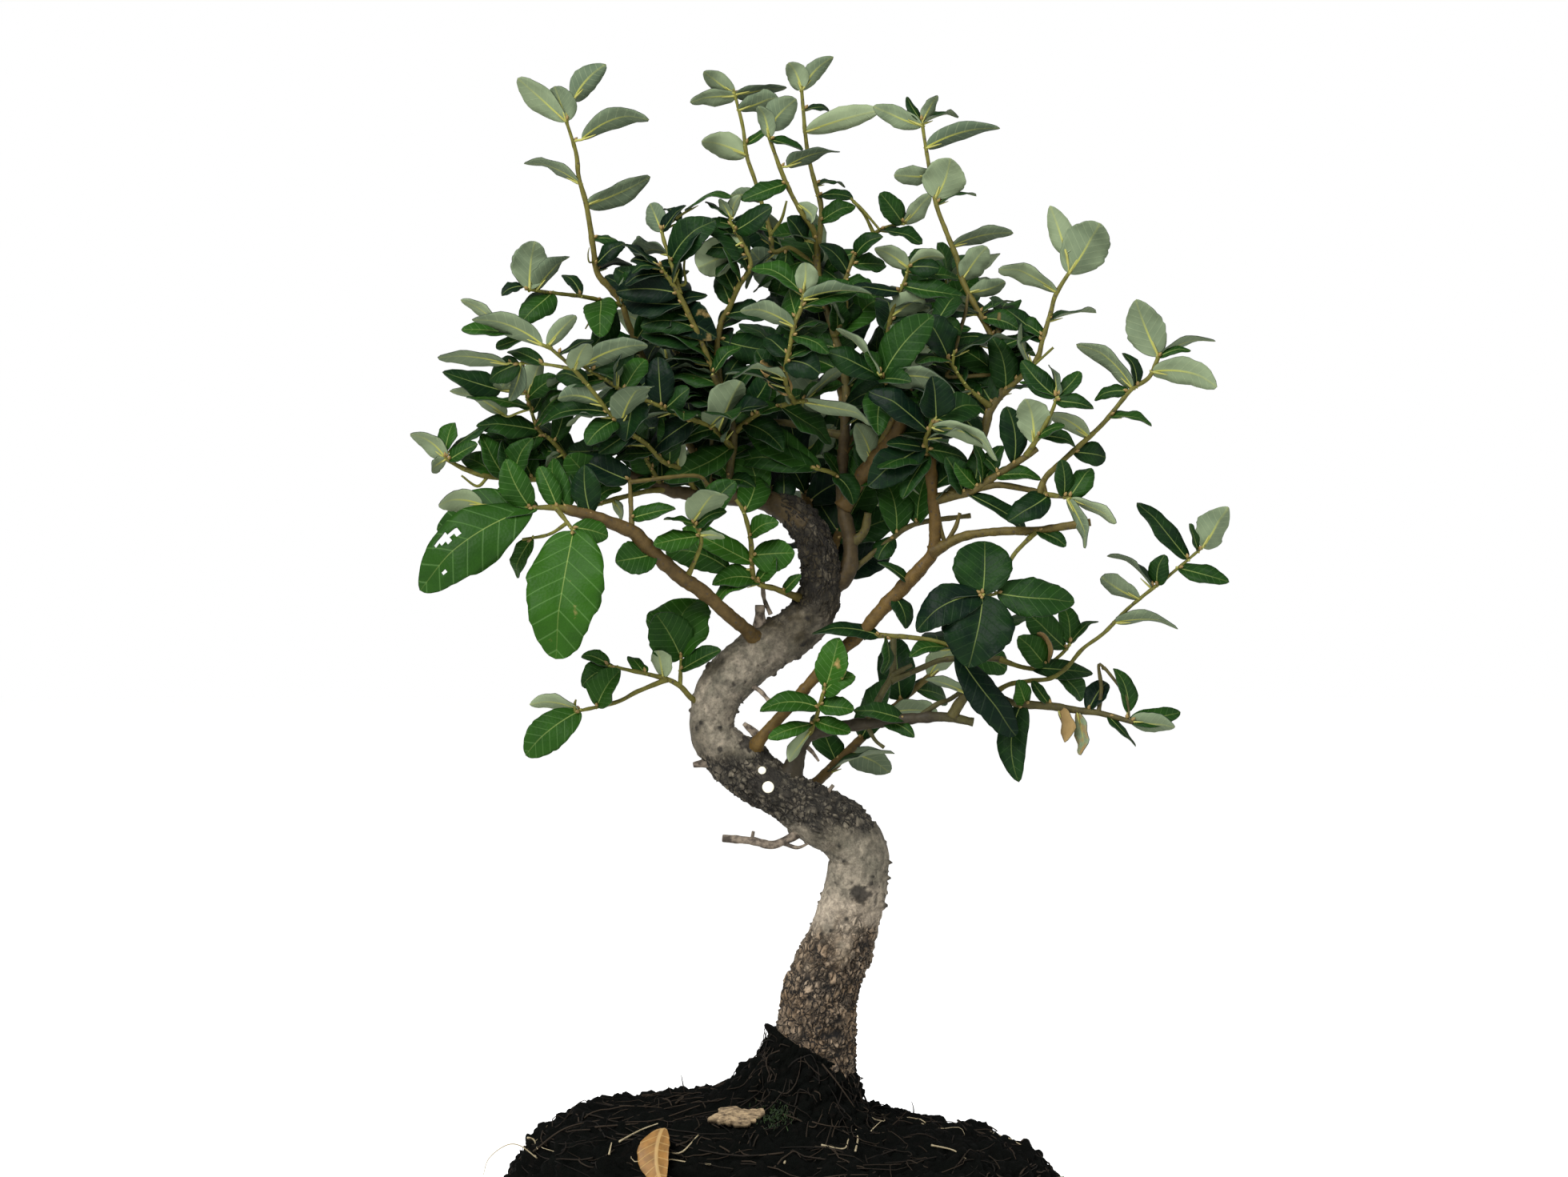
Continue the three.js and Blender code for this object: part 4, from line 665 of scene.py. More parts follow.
# Rows of x, y, z and radius, as seen from the front
TRUNK = [
    [12,0,74,15], [12,0,88,17], [12,0,100,15.5], [13,0,130,15], [15.5,-1,140,13.9], [19.5,-2,150,13.4],
    [23,-3,160,12.3], [26,-4,170,12], [27.5,-5,180,11.2], [27.5,-6,188,11], [22,-7,196,11.3],
    [14,-8,201,11.2], [4.5,-8,206.5,10], [-5,-8,212,10], [-15,-7,219,10], [-21.5,-6,224.5,9.8],
    [-26.5,-5,232,8.6], [-26.5,-4,240,8.7], [-24,-4,248,9.4], [-19,-4,254,9.8], [-13,-3,259.5,9.2],
    [-5,-2,265.5,9.4], [3.5,-1,270.5,9.2], [10,0,277,9], [13.5,0,285,8.5], [14,1,293,8], [12.5,1,301,8],
    [9,1,309,7.4], [3,1,315.5,6.2], [-3,1,318,4.8],
]
ROOTS = [
    [[10,0,90,9], [-12,-6,80,7], [-38,-10,66,5], [-62,-12,48,3]],
    [[14,0,90,9], [34,4,74,7], [56,6,58,5], [76,4,42,3]],
    [[12,-2,88,8], [8,-22,74,6], [0,-38,56,4], [-8,-44,40,3]],
    [[12,2,88,8], [18,22,72,6], [22,36,54,4], [30,44,38,3]],
]
TRUNK_STUBS = [
    [[10,-9,197,2.2], [0,-14,192,1.6], [-5,-16,190.5,1.5], [-12,-18,192,1.6], [-23,-20,193,1.3]],
    [[-28,-6,221.5,2], [-34,-7,220.5,1]],
    [[-12,-9,226,2.4], [-10,-12,231,1.8], [-15,-14,236,0.8]],
    [[-9,-4,270,2.6], [-9,-5,276,2], [-9,-5,280.5,1.8]],
]
# Knots and swellings, where they are seen: x, z, radius, height
KNOTS = [
    (30, 172, 6, 1.5), (-19, 251, 2.3, 0.8), (-6, 214, 7.5, 1.6), (-8, 230, 7, 1.8), (14, 207, 4, 1.4),
    (1, 209, 3.5, 1.0), (-24, 226, 2.6, 0.8), (26, 174, 3.2, 0.8),
]
# The pruning cuts by x, z and radius, and the share of it and the lift of each ring of their discs
PRUNING_CUTS = [(-5.7, 212, 2.15), (-8.2, 218, 1.45)]
CUT_RINGS = [(1, -1.2), (1, 0.45), (0.86, 0.65), (0.3, 0.7)]
CUT_POINTS = 28
LUMPS = [
    (13, 211.5), (15.5, 210.5), (18, 209), (20.5, 207), (24, 204.5), (38.2, 184), (38, 178), (36.6, 168),
]


def run_along(points):
    """How far along a path each of its points lies."""
    return np.concatenate([[0], np.cumsum(np.linalg.norm(np.diff(points, axis=0), axis=1))])


core = spline(seen(TRUNK), 0.75)
span = run_along(core[:, :3])
even = np.linspace(0, span[-1], TRUNK_ROWS)
core = np.stack([np.interp(even, span, core[:, k]) for k in range(4)], -1)
along, across, third = axes(core[:, :3])
angle = full_turn(TRUNK_SIDES)
outward = across[:, None] * np.cos(angle)[None, :, None] + third[:, None] * np.sin(angle)[None, :, None]
surface = core[:, None, :3] + outward * core[:, None, 3:4]

# Bark patterns are worked out on the trunk rolled straight: round a circle of its mean radius, and
# up by the length along it
straight = np.stack([
    core[:, None, 3] * np.cos(angle), core[:, None, 3] * np.sin(angle),
    np.repeat(even[:, None], TRUNK_SIDES, 1),
], -1)
wander = np.stack([1.3 * noise(straight, 4, k) + 0.7 * noise(straight, 1.6, k + 3)
                   for k in (21, 22, 23)], -1)
seen_height = surface[..., 2]
corky = smooth(*CORK_ENDS, seen_height + 9 * noise(straight, 10, 31) + 7 * noise(straight, 3.5, 26))
from_bend = np.abs(seen_height - ROUGH_BEND + 6 * noise(straight, 7, 32))
rough = np.maximum(corky, 0.95 * smooth(9, 2, from_bend - 9))
rough = np.maximum(rough, 0.9 * smooth(*ROUGH_TOP, seen_height + 7 * noise(straight, 7, 30)))
nearest, second, mark = cells(straight + wander, np.array(PLATE_SIZE), 41)
crack = smooth(0.2, 0.03, second - nearest) * (0.45 + 0.55 * smooth(-0.4, 0.2, noise(straight, 6, 33)))
split = smooth(0.2, 0.03, np.abs(noise((straight + wander) * [1, 1, 0.4], 2.3, 34)))
crack = np.maximum(crack, 0.85 * split * smooth(-0.3, 0.2, noise(straight, 5, 35)))
flake = noise((straight + wander) * [1, 1, 1.6], 1.5, 36)
plates = (0.55 + 0.5 * mark + 0.5 * flake) * (1 - crack) - 1.15
nearest_wart, _, wart_mark = cells(straight + 0.4 * wander, WART_SPACING, 51)
wart = smooth(0.3, 0.1, nearest_wart) * (wart_mark > 0.22)
small_wart, _, small_mark = cells(straight, WART_SPACING * 0.55, 55)
wart = np.maximum(wart, 0.6 * smooth(0.2, 0.04, small_wart) * (small_mark > 0.15))
wrinkle = noise(straight * [1, 1, 2.5], 3.2, 61)
fine = noise(straight, 1.3, 62)
knot_mask = np.zeros(surface.shape[:2])
swell = np.zeros(surface.shape[:2])
facing = outward[..., 1] < -0.2
flat_view = as_seen(surface)


def trunk_spot(x, z):
    """Row and column of the front of the trunk that is seen nearest to x and z."""
    away = np.linalg.norm(flat_view - [x, z], axis=-1) + 99 * ~facing
    return np.unravel_index(np.argmin(away), away.shape)


for x, z, radius, height in KNOTS:
    away = np.linalg.norm(surface - surface[trunk_spot(x, z)], axis=-1) / radius
    swell += height * np.exp(-away ** 2 * 1.4)
    ragged = away + 0.75 * noise(surface, 2.1, 71) + 0.35 * noise(surface, 0.9, 74)
    knot_mask = np.maximum(knot_mask, smooth(0.95, 0.45, ragged))
for x, z in LUMPS:
    away = np.linalg.norm(surface - surface[trunk_spot(x, z)], axis=-1)
    lump = smooth(1.7, 0.4, away + 0.5 * noise(surface, 1.5, 72))
    swell += 1.3 * lump
    wart = np.maximum(wart, lump)
calm = np.ones(surface.shape[:2])
for x, z, radius in PRUNING_CUTS:
    away = np.linalg.norm(surface - surface[trunk_spot(x, z)], axis=-1) / radius
    swell += 0.5 * np.exp(-((away - 1.45) / 0.3) ** 2)
    calm = np.minimum(calm, smooth(1.1, 1.9, away))
raised = (0.45 * noise(straight, 14, 81) + swell
          + calm * (rough * 1.5 * plates + (1 - rough) * 0.28 * wrinkle + 0.12 * fine
                    + wart * (1.15 - 0.35 * rough) + 0.7 * knot_mask * noise(surface, 1.6, 73)))
raised *= smooth(0, 6, even[-1] - even)[:, None]
surface = surface + outward * raised[..., None]
grime = (0.3 + 0.45 * rough) * smooth(-0.1, 0.6, noise(straight, 2.2, 37) + 0.4 * flake)
# Painted shade: the cracks are painted near black, the darker bark inside them with painted shade in them.
# Grime, warts and knots are the bark's own darker colour
dark = np.clip(np.max([rough * crack, grime, 0.9 * wart, 0.85 * knot_mask], axis=0), 0, 1)
# Painted light: the outer left side of the bend is painted paler, as lit from the left. The pale foot is
# the bark's own paler stretch
painted_lit_left = smooth(0.15, 0.85, -outward[..., 0])
pale_foot, painted_light_bend = (np.exp(-((seen_height - middle) / spread) ** 2)
                        for middle, spread in (PALE_FOOT, LIT_BEND))
pale_and_lit = pale_foot + 0.75 * painted_lit_left * painted_light_bend
pale_and_lit = np.clip(pale_and_lit * (0.85 + 0.55 * noise(straight, 5, 38) + 0.3 * noise(straight, 1.8, 29))
                + rough * 0.9 * (mark - 0.4) * (1 - crack), 0, 1)
# Painted shade: the upper stem under the crown is painted dark, and the rough bend less
from_bend = np.abs(seen_height - SHADED_BEND + 9 * noise(straight, 7, 28))
painted_shade = np.maximum(smooth(*SHADE_BEGINS, seen_height + 9 * noise(straight, 8, 39)),
                   0.45 * smooth(24, 10, from_bend))
painted_shade = np.clip(painted_shade * (0.85 + 0.35 * noise(straight, 2.6, 27)), 0, 0.95)

trunk_wood = Heap()
trunk_wood.put(closed_skin(surface), np.append(corky.ravel(), [0, 0]))
for rows in ROOTS:
    root = spline(rows, 2)
    root[:, 3] *= 1 + 0.12 * noise(root[:, :3], 6, 7)
    trunk_wood.put(tube(root, 14), 0.6)
DEAD_TWIGS = [
    [[0, -14, 191, 0.8], [5, -15, 189.5, 0.7], [9, -16, 191, 0.4]],
    [[-12, -18, 192.5, 0.7], [-11.5, -19, 195.5, 0.6]],
    [[-8, -3, 290, 0.8], [-7.5, -4, 283, 0.8], [-5, -5, 277, 0.9]],
    [[-18, -7, 252, 1.1], [-10, -9, 249, 0.8], [-5, -12, 244, 0.8], [0, -15, 240.5, 0.6]],
    [[5, -8, 230, 1.1], [10, -10, 226, 0.8], [13, -13, 222, 0.5]],
    [[15.5, -11, 209, 1.2], [18.5, -11, 213, 0.7]],
]
# Each group of dead wood: its pieces, the gap between rings, how uneven it is, over what size, the
# noise's seed, and the sides of a ring
for group, gap, uneven, size, seed, sides in (
        (TRUNK_STUBS, 0.8, 0.22, 2.2, 9, 12), (DEAD_TWIGS, 0.7, 0.25, 1.8, 10, 8)):
    for rows in group:
        stub = spline(seen(rows), gap)
        stub[:, 3] *= 1 + uneven * noise(stub[:, :3], size, seed)
        trunk_wood.put(tube(stub, sides), 0.3, 1)
for x, z, radius in PRUNING_CUTS:
    row, column = trunk_spot(x, z)
    middle, normal = surface[row, column], unit(outward[row, column] + [0, -0.8, 0])
    sideways = unit(np.cross(normal, along[row]))
    upward = np.cross(normal, sideways)
    turn = full_turn(CUT_POINTS)
    rim = sideways * np.cos(turn)[:, None] + upward * np.sin(turn)[:, None]
    disc = [middle + rim * radius * share + normal * lift for share, lift in CUT_RINGS]
    trunk_wood.put(closed_skin(np.array(disc)), 0, 2)

coat = Coat("cork oak bark", roughness=0.88, ior=1.45)
grain = coat.noise(560, 5, 0.75)
mottle = coat.ramp(coat.noise(110, 5, 0.65), 0.35, 0.68, 0, 0.5)
# The paler mark holds the bark's own pale foot and the painted light on the outer left of the bend
lightened = coat.maths("MAXIMUM", coat.maths("MULTIPLY", coat.attribute("pale_and_lit"), 0.8), mottle)
colour = coat.mix(coat.attribute("age"), BARK["grey"], BARK["cork"])
colour = coat.mix(lightened, colour, BARK["pale"])
# Painted shade: the upper stem and, less, the rough bend are mixed towards the dark shade colour
colour = coat.mix(coat.attribute("painted_shade"), colour, BARK["shade"])
colour = coat.mix(1.0, colour, coat.ramp(grain, 0.3, 0.7, 0.4, 1.45), "MULTIPLY")
# Fine fissures between flakes 2 to 4 mm wide, longer up the stem than round it. They are painted near
# black: darker bark with painted shade in them
warp = add(coat.tree, "TexNoise", vector=coat.place, scale=260, detail=3)
shifted = add(coat.tree, "VectorMath", {"operation": "MULTIPLY_ADD"}, in0=warp.outputs["Color"],
              in1=(0.005, 0.005, 0.005), in2=coat.place)
drawn_out = add(coat.tree, "Mapping", vector=shifted, scale=(1, 1, 0.6))
fissure = coat.ramp(coat.cells(360, drawn_out, "DISTANCE_TO_EDGE"), 0.02, 0.16, 1, 0)
shown = coat.maths("MULTIPLY", fissure, coat.attribute("rough"))
darkened = coat.maths("MAXIMUM", shown, coat.attribute("dark"))
relief = coat.maths("MULTIPLY_ADD", darkened, -1.2, grain)
bark = coat.cover(coat.mix(darkened, colour, BARK["crack"]), relief, 0.9, 0.0009)

coat = Coat("weathered dead twig", roughness=0.85)
weather = coat.noise(420, 5)
colour = coat.mix(coat.ramp(weather, 0.38, 0.62), "#3b332a", "#857868")
dead_wood = coat.cover(colour, weather, 0.7, 0.0006)
cut_wood = mottled("fresh cut sapwood", 0.7, 1500, "#e9e0bd", "#fbf8ea")

trunk = trunk_wood.build("trunk", [bark, dead_wood, cut_wood])
for name, values in (("dark", dark), ("pale_and_lit", pale_and_lit), ("painted_shade", painted_shade), ("rough", rough)):
    padded = np.zeros(trunk_wood.count)
    padded[:values.size] = values.ravel()
    write_points(trunk, name, padded)
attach(trunk, "root")
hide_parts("trunk")


# Boughs. The older limbs, 2 to 8 mm thick, each grown out of the trunk or of another bough with a
# swollen collar. Their bark is still smooth, grey-brown, warmer where the limb is young and vigorous.

# Stems hold rows of x, y, z and radius as seen from the front. Leaves hold the base's and the tip's x
# and z, the width that shows, the turn of the blade in degrees (90 shows the upper face, -90 the
# underside, 0 the edge), and the depth of the tip behind the base.
BOUGHS = {
    "branch_left": {"stems": [
        [[8,1,311,4.8], [-3,0,318,4.6], [-10,0,320,4.3], [-20,-2,321,3.8], [-32,-4,321.5,3.3],
         [-44,-7,324,3], [-54,-9,328,2.8], [-66,-11,330.5,2.6], [-78,-13,331,2.5], [-89,-15,330.5,2.3]],
    ], "leaves": []},
    "branch_lower_left": {"stems": [
        [[-9,-5,266,3.2], [-15,-14,272,3], [-20,-19,276,3.1], [-30,-25,285,3.2], [-40,-30,292,3.2],
         [-52,-36,303,3.1], [-57,-38,308,3], [-70,-41,313,2.8], [-76,-42.5,315,2.6], [-82,-43.5,316.5,2.2]],
        [[-57,-38,308,1.2], [-57.5,-34,320,1], [-58,-31,328,0.8]],
    ], "leaves": [
        [-57,313,-41,317,6.5,60,-6], [-49,299,-63,297,12,65,-8],
    ]},
    "branch_left_upright": {"stems": [
        [[-22,-2,321,2.6], [-20.5,-3,332,2.1], [-19,-4,342,2], [-20,-5,350,1.9], [-24,-8,361,1.7],
         [-26.5,-10,367,1.5]],
    ], "leaves": [
        [-20,340,-45,328,10,60,-12], [-22,329,-30,335,8,60,-8], [-21,327,-11,325,6,55,-8],
    ]},
    "branch_right_upright": {"stems": [
        [[12,0,283,4.6], [23,3,292,4], [25,5,303,3.5], [22,6,318,3], [22,7,335,2.6], [23,8,350,2.3],
         [23,9,365,2], [18,9,385,1.8], [13,8,400,1.6], [12,7,411,1.5]],
        [[25,5,303,2.2], [30,3,308,1.9], [31.5,2,315,1.8]],
        [[22,2,290,1.6], [30,6,297,1.3], [40,9,305,1.2], [50,11,311,1.2], [70,12,314,1.1]],
    ], "leaves": [
        [41,306,35,298,8,60,-5],
    ]},
    "branch_orange": {"stems": [
        [[22,6,317,3], [30,3,330,3.4], [40,-2,342,3.8], [44,-5,352,3.9], [46,-7,362,2.6], [42,-8,372,2.1],
         [38,-9,381,1.9]],
    ], "leaves": [
        [27,327,40,346,15,70,10],
    ]},
    "branch_front_right": {"stems": [
        [[-11,-10,226,3], [-9,-14,230,2.5], [0,-16,240,2.4], [10,-18,251.5,2.6], [20,-19,262,2.8],
         [29,-21,270,3], [36,-23,278,3.1], [44,-25,286.5,3.2], [52,-27,295,3], [56,-28,301,2.8],
         [56.5,-29,312,2.6], [55.5,-30,325,2.6], [55,-31,336,2.5]],
    ], "leaves": [
        [42,283,46,272,8,60,-6], [47,289,36,297,4,45,-6],
    ]},
    "branch_cut": {"stems": [
        [[55,-28,300,2.4], [67,-31,306,2], [80,-34,308,1.9], [95,-37,308.5,1.8], [115,-40,311.5,1.7]],
    ], "leaves": [
        [95,308,106,303.5,5,50,-4],
    ]},
    "branch_right_fork": {"stems": [
        [[56,-29,320,2.2], [70,-32,323,1.8], [78,-34,328,1.6], [86,-36,333,1.5], [95,-39,339,1.3]],
        [[72,-32,324,1.5], [80,-34,325.5,1.4], [90,-36,324,1.3], [98,-38,322,1.3]],
    ], "leaves": [
        [68,322,93,308,5,50,5], [80,328,96,329,6,55,-5], [72,325,64,334,7,60,-5], [67,323,61,336,8,60,-6],
        [80,330,72,337,4,50,3],
    ]},
    "branch_right_up": {"stems": [
        [[63,-30,321.5,2], [70,-27,333,2.1], [75,-24,345,2], [77,-22,353,2], [81,-20,360,2],
         [79,-19,367,1.9], [80,-18,376,1.7], [81,-17,390,1.1]],
    ], "leaves": [
        [80,363,70,368,6,60,5],
    ]},
    "branch_low_right": {"stems": [
        [[1,-8,214,4.4], [4,-9,221,3.8], [6,-10,228,3.5], [11,-11,232.5,3.2], [20,-12,234.5,3],
         [31,-14,236,2.8], [45,-15,237.5,2.6], [60,-16,238.5,2.3], [71,-16,236.5,1.8]],
        [[32,-14,237,1.8], [36,-10,246,1.6], [40,-7,253,1.5], [41,-5,258,1.4], [41,-2,268,1.3]],
        [[40,-7,252,1.5], [52,-6,257,1.3], [60,-6,260,1.3], [75,-8,260.5,1.3], [83,-9,260,1.3]],
    ], "leaves": [
        [45,239,27,242,6,55,-6], [36,236,49,231,5,55,-5],
    ]},
    "branch_low_right_far": {"stems": [
        [[63,-16,238.5,2.1], [66,-17,244,2], [70,-18,247,2], [78,-20,246,1.9], [87,-22,243.5,1.9],
         [100,-24,242.5,1.8], [110,-26,241,1.6], [118,-28,240,1.4], [131,-32,236.5,1.1]],
    ], "leaves": [
        [69,248,53,253,4,-35,-4], [103,242,106,229,4,-30,-4], [110,241,113,224,4.5,-40,-5],
        [89,242,88,214,11,65,-6], [91,244,88,252,8,60,-5], [100,243,93,252,4,50,5],
        [129,240,124,257,7,60,4], [131,236,147,236,8,-60,-5], [131,238,149,241,7,60,4],
        [121,238,132,227.5,3.5,35,-5], [114,241,121,252,7,60,5],
    ]},
}
# How warm a bough's bark is, from grey at 0 to tan at 1
BOUGH_WARMTH = {
    "branch_front_right": 1.0, "branch_orange": 0.8, "branch_cut": 0.8, "branch_lower_left": 0.7,
    "branch_right_fork": 0.6, "branch_right_up": 0.5, "branch_low_right": 0.0, "branch_low_right_far": 0.2,
}
# The wood is drawn a little slimmer than its solids, which stand for its buds and snags as well
BOUGH_GIRTH = 0.8
SHOOT_GIRTH = 0.64
OLDEST_TWIG = 0.75
SHORTEST_STALK = 2.5
STEM_END = 1.5
NARROWEST_TURN = 0.2
BLADE_THICKNESS = 0.3
# Radii along a leaf's stalk, from the twig into the blade, and along a bud
STALK_RADII = [0.62, 0.55, 0.52, 0.4, 0.15]
BUD_RADII = [0.25, 0.62, 0.7, 0.45, 0.1]
WIDE_LEAF = 12.5
FINE_GRID = (33, 15)
PLAIN_GRID = (15, 5)
# The map of a leaf: its side veins, how they slant, and what its two numbers are divided by
SIDE_VEINS = 7.5
VEIN_SLANT = 0.75
VEIN_SCALE = 8
WIDTH_SCALE = 40


def nearest_on_stems(stems, x, z):
    """How far a place lies from the stems in the front view, and the point of them nearest to it."""
    starts = np.vstack([np.array(rows, float)[:-1, :3] for rows in stems])
    ends = np.vstack([np.array(rows, float)[1:, :3] for rows in stems])
    way = ends - starts
    span = way[:, 0] ** 2 + way[:, 2] ** 2
    last = np.concatenate([np.arange(1, len(rows)) == len(rows) - 1 for rows in stems])
    most = np.where(last, 1 - STEM_END / np.sqrt(span), 1)
    t = ((x - starts[:, 0]) * way[:, 0] + (z - starts[:, 2]) * way[:, 2]) / span
    places = starts + way * np.minimum(most, np.maximum(0, t))[:, None]
    away = np.hypot(x - places[:, 0], z - places[:, 2])
    return away.min(), places[away.argmin()]


def traced_leaf(stems, row, dry):
    """Root on the stem, base and tip of the blade, its width, its upper face's normal and how dry it
    is, for one row of the list. The turn swings the upper face from up towards the front."""
    base_x, base_z, tip_x, tip_z, shown, turn, lean = row
    away, point = nearest_on_stems(stems, base_x, base_z)
    root = seen(point)
    base = root if away < SHORTEST_STALK else seen([base_x, point[1], base_z])
    tip = seen([tip_x, point[1] + lean, tip_z])
    way = unit(tip - base)
    front = unit(np.array([0, -1, 0]) + way * way[1])
    up = np.cross(way, front)
    up = up if up[2] >= 0 else -up
    turn = math.radians(turn)
    normal = up * math.cos(turn) + front * math.sin(turn)
    return root, base, tip, shown / max(NARROWEST_TURN, abs(math.sin(turn))), normal, dry


def leaf_sheets(leaves, grid, rng):
    """Points, vein map and share of the way to the tip of blades, each a sheet of rows from base to
    tip by columns across. Half the width goes as sin(pi s^p)^q, with forward teeth past the first
    quarter. The sheet is folded along the midrib, arched along its length, curled at its margins and
    rippled."""
    rows, columns = grid
    base, tip, width, normal = (np.array([leaf[k] for leaf in leaves]) for k in (1, 2, 3, 4))
    number = len(leaves)
    length = np.linalg.norm(tip - base, axis=1)
    way = (tip - base) / length[:, None]
    side = unit(np.cross(normal, way))
    normal = np.cross(way, side)

    def pick(low, high):
        """A number for each blade."""
        return rng.uniform(low, high, number)[:, None, None]

    even = np.linspace(0, 1, rows)
    s = (0.35 * even + 0.65 * (0.5 - 0.5 * np.cos(math.pi * even)))[None, :, None]
    t = np.linspace(-1, 1, columns)[None, None, :]
    length, width = length[:, None, None], width[:, None, None]
    peak = pick(0.42, 0.56)
    fullness = pick(0.45, 0.62)
    outline = np.sin(math.pi * np.clip(s, 1e-6, 1 - 1e-6) ** (math.log(0.5) / np.log(peak))) ** fullness
    tooth = (even * (rows - 1) / (4 if rows > PLAIN_GRID[0] else 2)) % 1
    tooth = np.where(tooth < 0.7, tooth / 0.7, (1 - tooth) / 0.3)[None, :, None]
    toothed = smooth(0.2, 0.4, s) * smooth(1.0, 0.93, s) * (tooth - 0.5)
    uneven = 1 + pick(-0.06, 0.06) * np.sign(t)
    cut = rng.uniform(0, 0.1, (number, rows, 1))
    half = 0.5 * width * outline * uneven * (1 + cut * toothed)
    x = t * half
    across = np.abs(x)
    ripple = np.sin(2 * math.pi * (pick(1.5, 2.6) * s + 0.5 * np.sign(t) * pick(0, 1) + pick(0, 1)))
    rise = (pick(0.05, 0.6) * across - pick(0.1, 0.7) * across ** 2 / width
            + pick(0.02, 0.11) * length * 4 * s * (1 - s)
            + pick(0.06, 0.17) * ripple * across * t ** 2
            - pick(-0.02, 0.16) * length * smooth(0.65, 1.0, s))
    veins = (s * length - VEIN_SLANT * across) / length * SIDE_VEINS
    if columns > PLAIN_GRID[1]:
        furrow = 0.5 + 0.5 * np.cos(2 * math.pi * veins)
        rise = rise - 0.17 * furrow * smooth(0.2, 1.2, across) * (1 - t ** 2)
    bend = pick(-0.09, 0.09) * length * 4 * s * (1 - s)
    twist = pick(-0.8, 0.8) * (s - 0.3)
    sideways = x * np.cos(twist) + bend
    lifted = rise + x * np.sin(twist)
    points = (base[:, None, None] + way[:, None, None] * (s * length)[..., None]
              + side[:, None, None] * sideways[..., None] + normal[:, None, None] * lifted[..., None])
    uv = np.stack(np.broadcast_arrays(veins / VEIN_SCALE, 0.5 + x / WIDTH_SCALE), -1)
    return points, uv, np.broadcast_to(s, x.shape)


def sheet_faces(number, rows, columns, first):
    """The squares of several open grids, one after another, counter-clockwise from the upper face."""
    n, r, k = np.meshgrid(np.arange(number), np.arange(rows - 1), np.arange(columns - 1), indexing="ij")
    here = first + (n * rows + r) * columns + k
    return np.stack([here, here + columns, here + columns + 1, here + 1], -1).reshape(-1, 4)


def lay_veins(made, uv):
    """Writes the vein map, held for each point, to the corners of the faces."""
    loops = np.empty(len(made.data.loops), int)
    made.data.loops.foreach_get("vertex_index", loops)
    made.data.uv_layers.new(name="veins").data.foreach_set("uv", uv[loops].ravel())


def leaf_object(name, leaves, tone_and_shade, rng, holes=()):
    """All blades of one shoot: wide ones on a fine grid, and the rest, with those of the sprays
    behind, on a plain one. A solidify modifier gives them their thickness, with the felted underside
    and the margin as further materials."""
    widest_plain = math.inf if name.startswith("spray") else WIDE_LEAF
    wide = [leaf for leaf in leaves if leaf[3] > widest_plain]
    plain = [leaf for leaf in leaves if leaf[3] <= widest_plain]
    points, uv, runs, tones_and_shades, dried, faces, count = [], [], [], [], [], [], 0
    for group, grid in ((wide, FINE_GRID), (plain, PLAIN_GRID)):
        if not group:
            continue
        sheets, places, run = leaf_sheets(group, grid, rng)
        points.append(sheets.reshape(-1, 3))
        uv.append(places.reshape(-1, 2))
        runs.append(run.ravel())
        each = np.clip(tone_and_shade + rng.normal(0, 0.16, len(group)), 0, 1)
        tones_and_shades.append(np.repeat(each, grid[0] * grid[1]))
        dried.append(np.repeat([leaf[5] for leaf in group], grid[0] * grid[1]))
        faces.append(sheet_faces(len(group), *grid, count))
        count += len(points[-1])
    points, uv, faces = np.vstack(points), np.vstack(uv), np.vstack(faces)
    for middle, reach in holes:
        centres = points[faces].mean(1)
        ragged = reach * (1 + 0.25 * noise(centres, 1.5, 5))
        faces = faces[np.linalg.norm(centres - middle, axis=1) > ragged]
    made = new_object(name, points, faces.tolist(), [leaf_upper, leaf_under, leaf_margin])
    lay_veins(made, uv)
    for attribute, parts in (("run", runs), ("tone_and_shade", tones_and_shades), ("dry", dried)):
        write_points(made, attribute, np.concatenate(parts))
    thick = made.modifiers.new("thickness", "SOLIDIFY")
    thick.thickness = BLADE_THICKNESS * MM
    thick.offset = -1
    thick.material_offset = 1
    thick.material_offset_rim = 2
    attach(made, "root")
    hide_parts(name.removesuffix("_leaves"))


